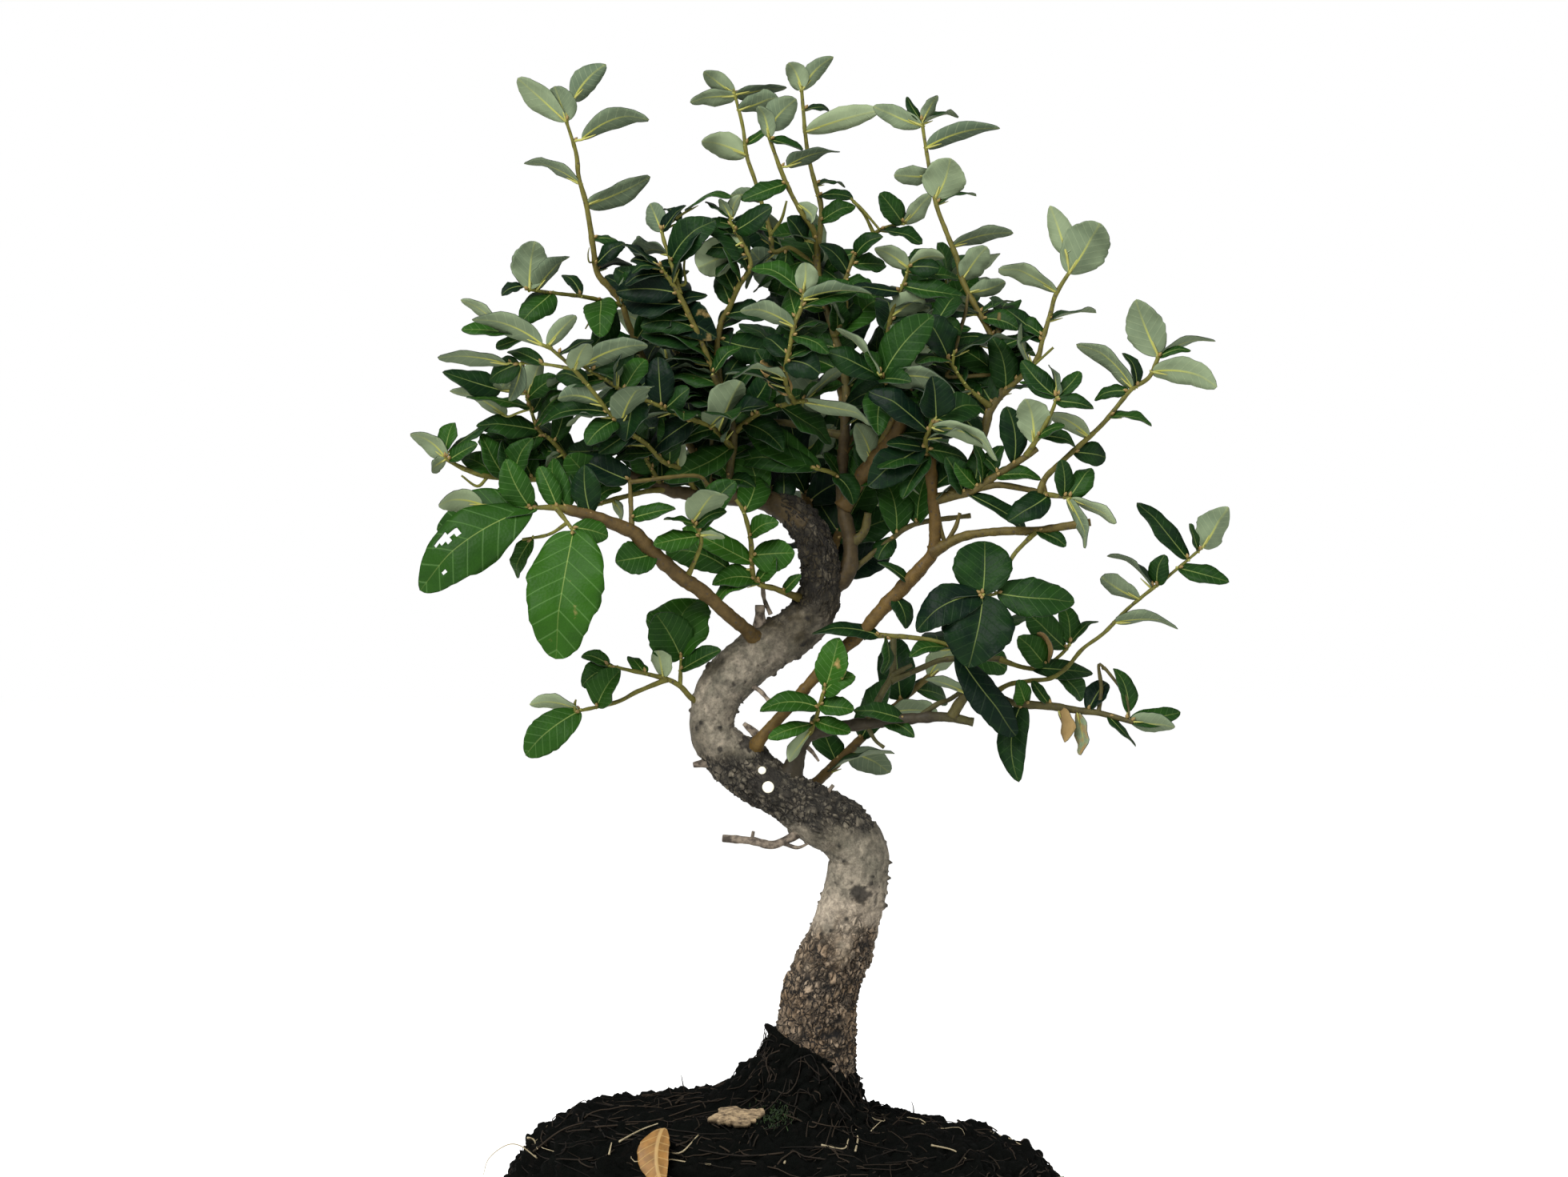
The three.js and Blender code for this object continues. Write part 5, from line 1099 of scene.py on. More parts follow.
def grow(name, stems, leaves, place, sides, warmth, tone_and_shade, seed, extra=(), holes=()):
    """One bough, shoot or spray: its stems with their collars, its dead ends and side twigs, each led
    to the nearest stem, a stalk and a bud for every leaf, and its leaves. age runs from 0, a
    green-yellow twig, to 1, grey old bark."""
    rng = np.random.default_rng(seed)
    wood = Heap()
    for twig in extra:
        away, point = nearest_on_stems(stems, twig[0][0], twig[0][2])
        rest = twig if away > SHORTEST_STALK / 2 else twig[1:]
        stems = [*stems, [[*point, twig[0][3]], *rest]]
    for order, rows in enumerate(stems):
        stem = spline(place(rows), 1.0)
        from_foot = run_along(stem[:, :3])
        thickness = stem[:, 3].copy()
        stem[:, 3] *= BOUGH_GIRTH if sides > 10 else SHOOT_GIRTH
        knobs = 0.1 * smooth(0.25, 0.0, np.abs((from_foot / rng.uniform(7, 10)) % 1 - 0.5))
        collar = (0.55 if order == 0 else 0.35) * np.exp(-from_foot / (1.6 * thickness[0]))
        lumpy = 0.09 * noise(stem[:, :3], 3.1, seed) + 0.05 * noise(stem[:, :3], 1.1, seed)
        stem[:, 3] *= 1 + collar + knobs + lumpy
        points, faces = tube(stem, sides)
        older = np.clip((thickness - 0.95) / 1.5, OLDEST_TWIG if sides > 10 else 0, 1)
        older = np.append(np.repeat(older, sides), [older[0], older[-1]])
        middle = np.append(np.repeat(stem[:, :3], sides, 0), stem[[0, -1], :3], 0)
        uneven = 1 + 0.06 * noise(points, 1.7, 3) + 0.05 * noise(points, 4, 4)
        points = middle + (points - middle) * uneven[:, None]
        wood.put((points, faces), older)
    for root, base, tip, width, normal, _ in leaves:
        way = unit(tip - base)
        into = min(0.3 * np.linalg.norm(tip - base), 6)
        apart = np.linalg.norm(base - root) > 0
        start = root if apart else root - 0.6 * way
        under = -0.25 * normal
        bend = [start, 0.5 * (start + base) + 0.3 * normal, base + under, base + 0.5 * into * way + under,
                base + into * way + 0.5 * under]
        thick = np.array(STALK_RADII) * min(1.15, 0.75 + 0.02 * width)
        stalk = spline(np.column_stack([bend, thick]), 1.6)
        wood.put(tube(stalk, 6), 0, 1)
        bud = root + 0.9 * way + 0.9 * normal
        rise = unit(way + normal) * np.linspace(-0.6, 1.5, 5)[:, None]
        wood.put(tube(np.column_stack([bud + rise, BUD_RADII]), 6), 0.4, 2)
    made = wood.build(f"{name}_wood", [branch_bark, petiole, bud_scale])
    write_points(made, "warmth", np.full(wood.count, float(warmth)))
    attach(made, "root")
    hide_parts(name)
    if leaves:
        leaf_object(f"{name}_leaves", leaves, tone_and_shade, rng, holes)


# The young bark of cork oak is smooth and a little glossy, dotted with lenticels a millimetre long.
# Age turns it from straw yellow through tan to grey
coat = Coat("smooth young oak bark", roughness=0.6, ior=1.45, specular_ior_level=0.25)
streaks = coat.noise(320, 5, 0.65)
lenticel = coat.ramp(coat.cells(430), 0.15, 0.26, 0.75, 0)
old = coat.mix(coat.attribute("warmth"), "#363023", "#59451f")
colour = coat.mix(coat.attribute("age"), "#666629", old)
colour = coat.mix(1.0, colour, coat.ramp(streaks, 0.3, 0.7, 0.6, 1.25), "MULTIPLY")
branch_bark = coat.cover(coat.mix(lenticel, colour, "#3d352c"), streaks, 0.6, 0.0004)
petiole = mottled("downy yellow-green leaf stalk", 0.6, 300, "#83853c", "#aeaa58")
bud_scale = mottled("brown bud scales", 0.55, 900, "#4f3a24", "#a98f4e")


def vein_lines(coat, vein_width, rib_width):
    """Two masks read from the leaf's own map: the side veins, which are the whole numbers of its first
    number, and the midrib, where its second says the surface is within a width of the middle."""
    split = add(coat.tree, "SeparateXYZ", vector=add(coat.tree, "UVMap", {"uv_map": "veins"}))
    veins = coat.maths("MULTIPLY", split.outputs[0], VEIN_SCALE)
    vein = coat.ramp(coat.maths("PINGPONG", veins, 0.5), 0, vein_width, 1, 0)
    distance = coat.maths("ABSOLUTE", coat.maths("SUBTRACT", split.outputs[1], 0.5))
    return vein, coat.ramp(distance, rib_width / WIDTH_SCALE / 2, rib_width / WIDTH_SCALE, 1, 0)


LEAF = {
    "deep": "#04170c", "bright": "#284f10", "vein": "#5d8046", "rib": "#93a45a", "underside": "#4f5f48",
    "pale underside": "#84926f", "under vein": "#8b9873", "under rib": "#adae4c", "margin": "#16220f",
    "dead": "#5d4522", "dead pale": "#a98f5c",
}


def browned(coat, clouds, living):
    """The living colour with dead, tan patches 4 to 8 mm wide where cloud and dryness add up to more
    than three quarters."""
    dead = coat.ramp(coat.maths("ADD", clouds, coat.attribute("dry")), 0.78, 0.9)
    return coat.mix(dead, living, coat.mix(clouds, LEAF["dead"], LEAF["dead pale"]))


# Upper face: leathery and waxed, deep green, with pale sunk veins and a soft gloss
coat = Coat("waxed oak leaf, upper face", roughness=0.5, ior=1.45, specular_ior_level=0.12)
tone_and_shade = coat.attribute("tone_and_shade")
vein, rib = vein_lines(coat, 0.07, 0.27)
clouds = coat.noise(150, 4)
# Painted light and shade: the shoot's set tone takes the colour from deep to bright, and on bright leaves
# the veins show clearer, a painted glow of light through the blade
toned = coat.maths("ADD", tone_and_shade, coat.ramp(clouds, 0.3, 0.7, -0.12, 0.12), clamp=True)
clear = coat.ramp(tone_and_shade, 0.1, 0.8, 0.06, 0.5)
fade = coat.ramp(coat.attribute("run"), 0, 1, 0.6, 0.06)
colour = coat.mix(toned, LEAF["deep"], LEAF["bright"])
colour = coat.mix(coat.maths("MULTIPLY", vein, clear), colour, LEAF["vein"])
colour = coat.mix(coat.maths("MULTIPLY", rib, fade), colour, LEAF["rib"])
relief = coat.maths("SUBTRACT", coat.cells(900), coat.maths("MAXIMUM", vein, rib))
leaf_upper = coat.cover(browned(coat, clouds, colour), relief, 0.35, 0.0003)

# Underside: covered in fine pale felt, so dull grey-green, with raised veins and a yellow midrib
coat = Coat("felted oak leaf, underside", roughness=0.8, ior=1.4)
vein, rib = vein_lines(coat, 0.09, 0.45)
clouds = coat.noise(140, 3)
# Painted light and shade: the underside is paler on the brighter, lit shoots
tone_and_shade = coat.ramp(coat.attribute("tone_and_shade"), 0, 0.7)
toned = coat.maths("ADD", tone_and_shade, coat.ramp(clouds, 0.3, 0.7, -0.15, 0.15), clamp=True)
fade = coat.ramp(coat.attribute("run"), 0.05, 0.75, 1, 0.15)
colour = coat.mix(toned, LEAF["underside"], LEAF["pale underside"])
colour = coat.mix(coat.maths("MULTIPLY", vein, 0.35), colour, LEAF["under vein"])
colour = coat.mix(coat.maths("MULTIPLY", rib, fade), colour, LEAF["under rib"])
relief = coat.maths("ADD", coat.noise(700, 4), coat.maths("MAXIMUM", vein, rib))
leaf_under = coat.cover(browned(coat, clouds, colour), relief, 0.22, 0.0003)

# Margin: a thin hard rim, darker than the blade
leaf_margin = mottled("hard leaf margin", 0.5, 200, LEAF["margin"], "#33422c")

BOUGH_SIDES = 16
BOUGH_TWIGS = {
    "branch_right_upright": [
        [[23, 8, 344, 1.8], [12, 12, 346, 1.7], [2, 14, 348.5, 1.5], [-6, 15, 349.5, 1.2]],
    ],
    "branch_lower_left": [[[-34, -28, 329, 0.9], [-28, -24, 325, 0.9], [-22, -18, 322, 0.8]]],
    "branch_left": [[[-27, -4, 346, 0.9], [-28, -4, 349, 0.9], [-30, -4, 352, 0.6]]],
    "branch_low_right": [
        [[31, -14, 235, 1.1], [34, -15, 230, 0.9], [37.5, -16, 227, 0.8]],
        [[40, -7, 254, 1.2], [44, -8, 256, 1.1], [48, -9, 258, 0.9]],
        [[50, -15, 239, 1.3], [57, -14, 243, 1.2], [62, -13, 245, 1.1], [68, -12, 249, 0.9]],
    ],
    "branch_low_right_far": [
        [[118, -28, 240.5, 1], [119, -27, 249, 0.9], [118, -27, 258, 0.7], [121, -28, 256, 0.6]],
        [[121, -29, 256, 0.7], [127, -30, 248, 0.7], [129, -31, 243, 0.6], [129.5, -32, 238, 0.5]],
    ],
    "branch_right_fork": [[[98, -38, 322, 1], [97.5, -38, 325, 0.9], [97, -38, 328, 0.7]],
                          [[60, -28, 305, 1], [64, -28, 309, 1], [66, -28, 315, 0.8]]],
    "branch_right_up": [[[62, -27, 366, 0.9], [62.5, -26, 369, 0.8], [63, -26, 371, 0.6]],
                        [[66, -22, 383, 0.8], [68, -21, 390, 0.8], [69, -21, 397, 0.6]]],
    "branch_orange": [[[36, 0, 340, 1.2], [39, -6, 347, 1.4], [42, -9, 353, 1.0]]],
}
# Leaves that are dying: the limb, the row of its list, and how dry the leaf is, dead all over at 1
DRY_LEAVES = {
    ("branch_low_right_far", 1): 1, ("shoot_low_right_cluster", 5): 1, ("shoot_trunk_front", 1): 0.2,
    ("shoot_low_left_tip", 3): 0.13, ("shoot_inner_top_left", 0): 0.2, ("shoot_front_yellow", 9): 0.35,
    ("branch_low_right_far", 2): 0.35,
}
# The crown is so thick with leaves that its inside hardly shows: where it is thickest from the
# front, as ovals of a middle's x and z, half width and half height, and the one gap in it
THICKETS = [(-92, 347, 34, 20), (-20, 376, 54, 52), (52, 364, 50, 40)]
CROWN_GAP = (8, 350, 13, 9)
INNER_LEAF_SPACING = 5
INNER_LEAF_LENGTH = (14, 26)
INNER_LEAF_WIDTH = (0.45, 0.62)


def inner_leaves(stems, rng):
    """Leaves on the bare stretches of stems inside the crown. They point any way but forwards, look
    to the sky, and are kept where their tips show inside an oval of the crown."""
    leaves = []
    for rows in stems:
        path = spline(seen(rows), 1)[:, :3]
        for at in np.arange(4, len(path) - 2, INNER_LEAF_SPACING) + rng.integers(0, 3):
            along = unit(path[min(at + 1, len(path) - 1)] - path[min(at, len(path) - 2)])
            way = rng.normal(0, 1, 3) * [1, 0.8, 0.7]
            way[1] = abs(way[1]) * 0.8 - 0.15
            way = unit(unit(way - along * (way @ along)) * 0.85 + along * 0.45)
            root = path[min(at, len(path) - 1)]
            tip = root + way * rng.uniform(*INNER_LEAF_LENGTH)
            x, z = as_seen(tip)
            oval = [((x - cx) / wide) ** 2 + ((z - cz) / high) ** 2
                    for cx, cz, wide, high in [*THICKETS, CROWN_GAP]]
            normal = unit(np.array([0, -0.7, 1]) + rng.normal(0, 0.45, 3))
            normal = unit(normal - way * (normal @ way))
            width = np.linalg.norm(tip - root) * rng.uniform(*INNER_LEAF_WIDTH)
            if min(oval[:-1]) < 1 < oval[-1]:
                leaves.append((root, root, tip, width, normal, 0))
    return leaves


def limb_leaves(name, limb, seed):
    """The leaves of a limb: those traced from the front, and those added inside the crown."""
    traced = [traced_leaf(limb["stems"], row, DRY_LEAVES.get((name, k), 0))
              for k, row in enumerate(limb["leaves"])]
    return traced + inner_leaves(limb["stems"], np.random.default_rng(seed))


for order, (name, bough) in enumerate(BOUGHS.items()):
    grow(name, bough["stems"], limb_leaves(name, bough, 400 + order), seen, BOUGH_SIDES,
         BOUGH_WARMTH.get(name, 0.3), 0.35, 100 + order, BOUGH_TWIGS.get(name, ()))


# Leafy shoots. Last year's and this year's wood, 1 to 3 mm thick, with the leaves it carries on
# short yellow stalks, each with a bud in its axil. Written as the boughs are.
SHOOTS = {
    "shoot_top_left": {"stems": [
        [[-26,-3,322,2.4], [-33,6,336,2.2], [-42,10,352,2.1], [-51,11,369,2], [-58,10,385,2],
         [-61,9,394,2], [-66,7,400,1.9], [-70,6,405,1.8], [-71.5,4,414,1.7], [-74,2,430,1.5],
         [-77,0,441,1.4], [-78,-1,450,1.3], [-82,-4,463,1]],
        [[-61,9,393,1.4], [-75,-2,396,1.2], [-87,-12,397.5,1.1], [-97,-20,399,0.9]],
    ], "leaves": [
        [-82,464,-100,478,9,-65,-6], [-80,462,-86,475,12,-75,-4], [-79,470,-67,483,9,-70,6],
        [-82,466,-84,476,5,60,3], [-76,455,-50.5,464,7,-45,-8], [-72,431,-50,441,7.5,-50,8],
        [-78,438,-96.5,447.5,4,-22,6], [-97,400,-94,416,14,-75,4], [-93,400,-81,412,6,-35,-6],
        [-98,400,-106,397,4.5,50,-3], [-87,397,-99,387.5,11,70,-10], [-76,397,-83,405,5,60,8],
        [-71,418,-59,416,4,40,6], [-70,408,-61,417,6,55,-5], [-69,406,-57,409,3.5,25,4],
        [-60,394,-52,405,8,60,-8], [-58,392,-54,407,7,-50,-4],
    ]},
    "shoot_tuft": {"stems": [
        [[-20,-5,351,1.9], [-28,-9,372,1.7], [-35,-12,388,1.6], [-40,-14,398,1.5], [-42,-15,401,1.3],
         [-47,-17,408,1.1]],
        [[-39,-13.5,397,1.4], [-42,-12,408,1.2], [-45,-10,417,1.1], [-46,-9,422,1]],
    ], "leaves": [
        [-43,409,-27,425,13,70,-8], [-48,407,-57,406.5,3,30,-4], [-49,409,-58,411,3.5,60,5],
        [-46,423,-38,431,5,45,-4], [-46,422,-50,431,8,-60,3], [-39,424,-45,430,4,60,5],
        [-37,428,-21,436,2.2,12,-6], [-47,409,-60,416.5,2.5,15,6],
    ]},
    "shoot_top_middle": {"stems": [
        [[-23,-7,357,2], [-25,-4,372,1.9], [-24,-3,385,1.8], [-20,-5,393,1.5], [-17,-8,400,1.5],
         [-12.5,-10,408,1.4], [-16,-10,417,1.2], [-20,-12,424,1], [-19.5,-12,427,1]],
    ], "leaves": [
        [-20,426,-24,433,4,-50,-3], [-19,427,-17,434,4,-50,3], [-17,416,-33,407,13,-65,-8],
        [-20,422,-29,424,5,45,5], [-18,421,-5,430,9,60,-8], [-14,411,-26,405,2.2,15,-6],
        [-20,427,-29,432,2,15,6], [-23,380,-3,376,11,65,6],
    ]},
    "shoot_top_middle_back": {"stems": [
        [[12,8,407,1.6], [3,9,414,1.5], [-4,10,413,1.5], [-5,11,420,1.4], [-8,12,430,1.3],
         [-11,13,440,1.3], [-14,13,449,1.2], [-15.5,13,460,1.1], [-19,13,474,0.9]],
    ], "leaves": [
        [-19,472,-30,481,7,-60,-4], [-18,472,0,476,5,-40,6], [-20,471,-35,470,5.5,-45,4],
        [-17,466,-2,472,6,-45,-7], [-15,449,-31,455,10,-70,-3], [-14,453,-5,460,4,50,8],
        [-9,432,-20,434,4,-40,8],
    ]},
    "shoot_crown": {"stems": [
        [[13,8,402,1.7], [12.5,6,412,1.7], [11,0,421,1.6], [7,-3,427,1.5], [3,-4,434,1.4], [-1,-5,443,1.3],
         [-6,-5,457,1.1]],
        [[12.5,6,411,1.6], [14,12,428,1.6], [12,14,437,1.4], [9.5,15,447,1.3], [8,15,457,1.2],
         [6.5,15,475,1]],
    ], "leaves": [
        [-6,459,4,470,11,-75,3], [-6,458,-9,468,6,-60,-4], [-5,455,7,451,5,40,-6],
        [1,445,21,451,4.5,-25,-8], [0,438,-16,432,7,55,-4], [6.5,474,2,484,8,-75,-2],
        [7,475,18,486,7,-70,3], [7,466,17,467,3,30,5], [10,458,36,466,8,-60,-5],
        [12,438,23,438.5,2.5,20,4], [14,434,26,433,4.5,40,-5], [5,431,12,424,5,-50,-4],
        [14,424,26,431,7,55,-4], [8,417,2,426,8,60,-6],
    ]},
    "shoot_crown_right": {"stems": [
        [[19,9,381,1.7], [23,6,391,1.6], [23,7,402,1.5], [28,9,414,1.4], [36,11,421,1.2], [46,12,424,1]],
        [[34,10.5,419,1.1], [30,9,427,1], [25,8,433,0.9]],
    ], "leaves": [
        [21,383,19,396,8,65,-8], [25,412,36,419,7,60,-8], [22,402,34,397,9,65,-8], [23,405,14,416,8,60,-6],
        [26,408,38,408,8,60,5], [27,413,15,406,7,60,4], [45,424,36,435,9,60,-4], [36,421,52,418,4,30,-8],
        [46,424,54,435,6,-50,3],
    ]},
    "shoot_front_yellow": {"stems": [
        [[-18,-4,346,1.6], [-10,-11,352,1.5], [-3,-17,354.5,1.4], [4,-22,356.5,1.3], [9,-25,357,1.2]],
        [[4,-22,356.5,1.4], [1,-34,362,1.4], [0.5,-42,368.5,1.4], [2,-45,376,1.4], [4,-46,386,1.3],
         [6.5,-46,392,1.2], [7.5,-46,400,1]],
    ], "leaves": [
        [7.5,399,8,409,8.5,-75,-3], [5,397,-12,408,7,50,8], [3,385,-16.5,392.5,6,-45,-8],
        [7,395,33,397,3.5,-25,-6], [4,383,15,388,3,25,6], [4,381,17,376,4,35,-7], [1,372,13,368,12,75,-6],
        [2,374,-7,382,8,65,5], [-12,356,-5,368,10,70,-8], [3,360,-9,372,8,65,-6], [-2,355,-9,352,5,60,-5],
        [7,357,36,351,5,-40,-10], [8,359,24,371,3,-25,6],
    ]},
    "shoot_inner_top_left": {"stems": [
        [[-20,-5,346,1.9], [-26,0,356,1.9], [-33,2,366,1.8], [-41,3,376,1.6], [-46,0,386,1.3],
         [-46,-5,393,1]],
    ], "leaves": [
        [-46,390,-26,382,14,75,-10], [-45,391,-30,398,6,50,-8], [-43,378,-28,379,3.5,-25,-8],
        [-45,380,-57,378,3,25,-4], [-38,372,-57,361,8,60,-6], [-32,363,-49,356,9,65,4],
        [-29,360,-43,356,2,12,-8],
    ]},
    "shoot_left_yellow": {"stems": [
        [[-33,-4,323,1.6], [-38,-12,331,1.5], [-45,-20,334,1.4], [-52,-28,341,1.3], [-60,-35,346.5,1.3],
         [-66,-40,353,1.2], [-72,-45,361,1.2], [-80,-50,370,1.1], [-89,-56,378,1]],
        [[-87,-55,376.5,1], [-98,-52,381,0.9], [-107,-48,386,0.8]],
        [[-79,-49,369,1], [-92,-46,371,0.9], [-103,-43,371,0.8]],
    ], "leaves": [
        [-90,379,-117,388,8,-50,-8], [-88,379,-78,389,6,-60,-4], [-84,375,-72,381,3,25,5],
        [-107,387,-120,396,4,-35,3], [-100,382,-121,384,4,30,-5], [-97,381,-108,377,4,50,6],
        [-104,371,-130,373.5,5,-35,-6], [-90,371,-104,377,6,60,5], [-99,371,-111,365,10,70,4],
        [-68,355,-85,358,6,-50,-6], [-74,363,-86,368,8,65,6], [-63,350,-74,341,9,65,-8],
        [-67,351,-92,349,7,50,4],
    ]},
    "shoot_left_yellow_inner": {"stems": [
        [[-19,-4,339,1.5], [-27,-14,347,1.4], [-35,-22,350,1.4], [-42,-27,353,1.3], [-50,-31,356.5,1.3],
         [-57,-34,358.5,1.2], [-67,-37,365,1.1], [-77,-40,371,1]],
        [[-26.5,-13.5,346.5,1.1], [-30,-15,353,0.9]],
    ], "leaves": [
        [-76,371,-51,378,8,-60,-10], [-72,369,-60,374,9,65,4], [-60,361,-52,373,9,65,6],
        [-58,358,-60,343,15,75,-6], [-27,346,-41,340,8,65,-6], [-45,353,-36,362,8,60,-6],
    ]},
    "shoot_left_fan": {"stems": [
        [[-79,-13,330,1.7], [-82,-15,336,1.4], [-87,-18,342,1.3], [-92,-20,346,1.2], [-95,-22,354,1.1],
         [-97,-23,361,1]],
    ], "leaves": [
        [-97,360,-109,365,7,-60,-4], [-96,359,-92,373,9,-60,4], [-95,358,-85,366,7,55,-5],
        [-106,361,-128,368,10,60,-8], [-104,351,-124,362,7,-50,3], [-97,354,-119,359,4,25,-10],
        [-92,346,-115,349,9,60,-6], [-89,343,-115,342,8,55,2], [-83,337,-90,333,4,-40,-5],
        [-92,348,-80,362,6,60,6],
    ]},
    "shoot_far_left": {"stems": [
        [[-75,-13,330,1.9], [-85,-17,328,1.7], [-95,-20,327.5,1.6], [-105,-22,328,1.5], [-113,-24,329,1.4],
         [-121,-25,332,1.3], [-128,-26,336,1.1]],
    ], "leaves": [
        [-128,337,-140,345,7.5,-60,-3], [-127,338,-124,349,8,60,3], [-126,338,-108,351,4,30,4],
        [-125,336,-115,341,6,60,-4], [-128,335,-133,331,5,-50,-4], [-104,330,-113,345,9,60,-4],
        [-106,330,-121,337,8,60,3], [-101,329,-95,343,9,65,-6],
    ]},
    "shoot_low_left_tip": {"stems": [
        [[-80,-43,316,2], [-86,-44.5,317,1.7], [-93,-46,317,1.3], [-98,-47,317,1]],
        [[-85.5,-44.5,317,1.4], [-81,-47,311,1.2], [-78,-48,307,1]],
        [[-81,-47,311.5,1.1], [-88,-42,307,1], [-98,-38,305,0.8]],
    ], "leaves": [
        [-94,315,-137,288,22,75,-12], [-92,316,-131,310,12,55,6], [-113,318,-130,319,9,-65,-6],
        [-78,309,-87,262,27,80,-14], [-79,310,-66,306,8,60,5], [-94,305,-102,290.5,7,60,6],
        [-94,318,-107,326,9,65,6],
    ]},
    "shoot_low_fork": {"stems": [
        [[-43,-7,324,1.8], [-52,-12,323,1.6], [-62,-18,320.5,1.4], [-73,-24,317.5,1.3], [-83,-29,315.5,1]],
    ], "leaves": [
        [-74,319,-76,329,11,65,4], [-72,319,-62,325,5,50,-5], [-83,317,-83,326,5,60,4],
        [-64,319,-60,312,4,-50,-3],
    ]},
    "shoot_inner_left": {"stems": [
        [[-37,-28,289.5,1.6], [-33,-32,298,1.3], [-31,-34,305,1.1], [-34,-36,312,0.9]],
    ], "leaves": [
        [-34,311,-45,313,3,25,-4], [-33,310,-22,316,5,45,-5], [-31,307,-22,306,3.5,-50,-4],
        [-32,306,-49,303,8,60,-6],
    ]},
    "shoot_inner_low": {"stems": [
        [[6,-4,283,2], [-3,-12,286.5,1.7], [-11,-15,290,1.5], [-12.5,-16,305,1.4], [-15,-17,315,1.2],
         [-18,-18,320,1]],
    ], "leaves": [
        [-13,290,-27,288,9,65,-6], [-9,288,-27,282,5,45,-10], [-9,291,-3,298,7,60,-4],
        [-12,299,4,300,12,65,-3], [-13,306,-3,312,7,60,-6], [0,286,6,292,4,60,-4],
        [-20,293,-44,301,13,70,-3], [-13,296,-38,310,9,60,3],
    ]},
    "shoot_trunk_left": {"stems": [
        [[-27,-4,242,2], [-34,-8,245,1.7], [-39,-11,250,1.5], [-45,-13,253,1.4], [-58,-16,256,1.1],
         [-67,-17,258,0.8]],
        [[-44,-13,252.5,1.4], [-55,-18,248,1.3], [-63,-22,244,1.2], [-78,-27,240.5,1]],
        [[-39,-11,249.5,1.2], [-38.5,-9,262,0.9]],
    ], "leaves": [
        [-78,241,-97,225,13,70,-8], [-78,241,-95,244,5,-40,6], [-70,242,-62,256,12,65,-6],
        [-63,257,-76,251,9,60,-4], [-52,254,-58,262,5,50,4], [-66,258,-76,262,5,55,3],
        [-45,254,-47,264,7.5,-60,-5], [-39,261,-48,277,17,75,-8], [-38,261,-34,284,23,70,8],
        [-39,256,-24,264,6,50,-6],
    ]},
    "shoot_mid_left": {"stems": [
        [[-46,-7,324.5,1.6], [-50,-14,332,1.3], [-54,-18,338,1.1], [-60,-20,341,0.9]],
    ], "leaves": [
        [-60,340,-81,338,9,65,5], [-49,331,-58,341,13,70,-6], [-48,328,-58,324,5,50,-5],
        [-51,334,-44,347,6,60,4],
    ]},
    "shoot_mid_centre": {"stems": [
        [[22,6,326,1.8], [18,-4,330,1.4], [10,-8,332,1.1]],
    ], "leaves": [
        [12,330,-18,336,10,65,4], [14,332,-14,348,12,65,8], [19,329,26,318,8,60,-4],
    ]},
    "shoot_centre_cup": {"stems": [
        [[46,-7,360,1.8], [42,-20,362,1.4], [38,-33,364,1.2], [36,-40,367,1]],
    ], "leaves": [
        [36,366,17,376,9,60,-5], [37,367,56,389,14,70,-6], [38,366,65,362,8,-50,-8],
        [35,366,30,375,6,60,-8],
    ]},
    "shoot_orange_top": {"stems": [
        [[55,-30,333,1.9], [53,-36,340,1.5], [54,-41,345,1.3], [56,-44,350,1.1]],
    ], "leaves": [
        [57,351,56,366,13,70,-5], [53,346,34,362,9,60,-6], [56,347,82,337,6,-45,-8],
        [58,350,74,346,5,50,5], [52,340,32,327,13,70,-8], [54,339,69,335,8,60,6], [54,337,44,322,8,60,-10],
    ]},
    "shoot_right_mid": {"stems": [
        [[39,-9,379,1.6], [40,-12,388,1.4], [44,-15,399,1.2], [46,-16,404,1.1], [47,-17,409,0.9]],
    ], "leaves": [
        [46,407,34,415,7,-60,-5], [47,407,58,407,7,60,-4], [47,409,60,411,5,-45,4], [46,405,66,404,5,45,8],
        [45,400,67,397,8,60,-6], [43,398,25,401,5,45,-4], [40,389,53,396,9,-65,-7],
    ]},
    "shoot_grey_stick": {"stems": [
        [[77,-22,355,1.6], [71,-26,360,1.2], [68,-28,363,1.1], [62,-30,372,1], [58,-31,380,0.9],
         [56,-32,387,0.8]],
        [[63,-29.5,370,0.9], [64,-31,376,0.8]],
    ], "leaves": [
        [62,373,53,389,12,65,-6], [57,386,67,383,7,60,5],
    ]},
    "shoot_right_tall": {"stems": [
        [[80,-18,373,2], [77,-16,383,1.9], [72,-14,392,1.8], [67,-12,402,1.7], [65,-11,410,1.6],
         [61,-10,420,1.5], [57,-9,431,1.4], [54,-8,447,1.2], [51.5,-8,463,0.9]],
    ], "leaves": [
        [57,433,62,448,16,-75,-4], [54,441,41,442,6.5,-55,-4], [58,431,72,435,3,25,6],
        [54,452,81,459.5,6.5,-50,-6], [51,460,34,468,7,-60,3], [52,463,57,472,5,-60,-3],
        [51,463,46,471,4,60,3], [52,461,65,465,2.2,15,5], [63,415,86,420,4.5,-30,5],
        [68,403,76,415,9,-60,-4], [70,398,83,402,7,-60,-6], [74,390,86,395,2.5,20,6],
        [75,388,88,384,7,60,-5], [78,380,60,378,5,50,-5], [79,379,95,375,5,50,4],
    ]},
    "shoot_right_lean": {"stems": [
        [[80,-20,358,1.9], [90,-20,367,1.7], [95,-19,373,1.6], [97,-19,380,1.5], [100,-18,390,1.4],
         [102,-18,397,1.3], [107.5,-18,406,1.1]],
        [[90,-20,367,1], [101,-23,377,0.7]],
    ], "leaves": [
        [108,406,118,424,17,-75,-5], [106,412,100,430,8.5,-65,5], [102,398,81,409,5.5,-40,-5],
        [99,387,117,391,2,12,5], [97,381,87,387,6,60,5],
    ]},
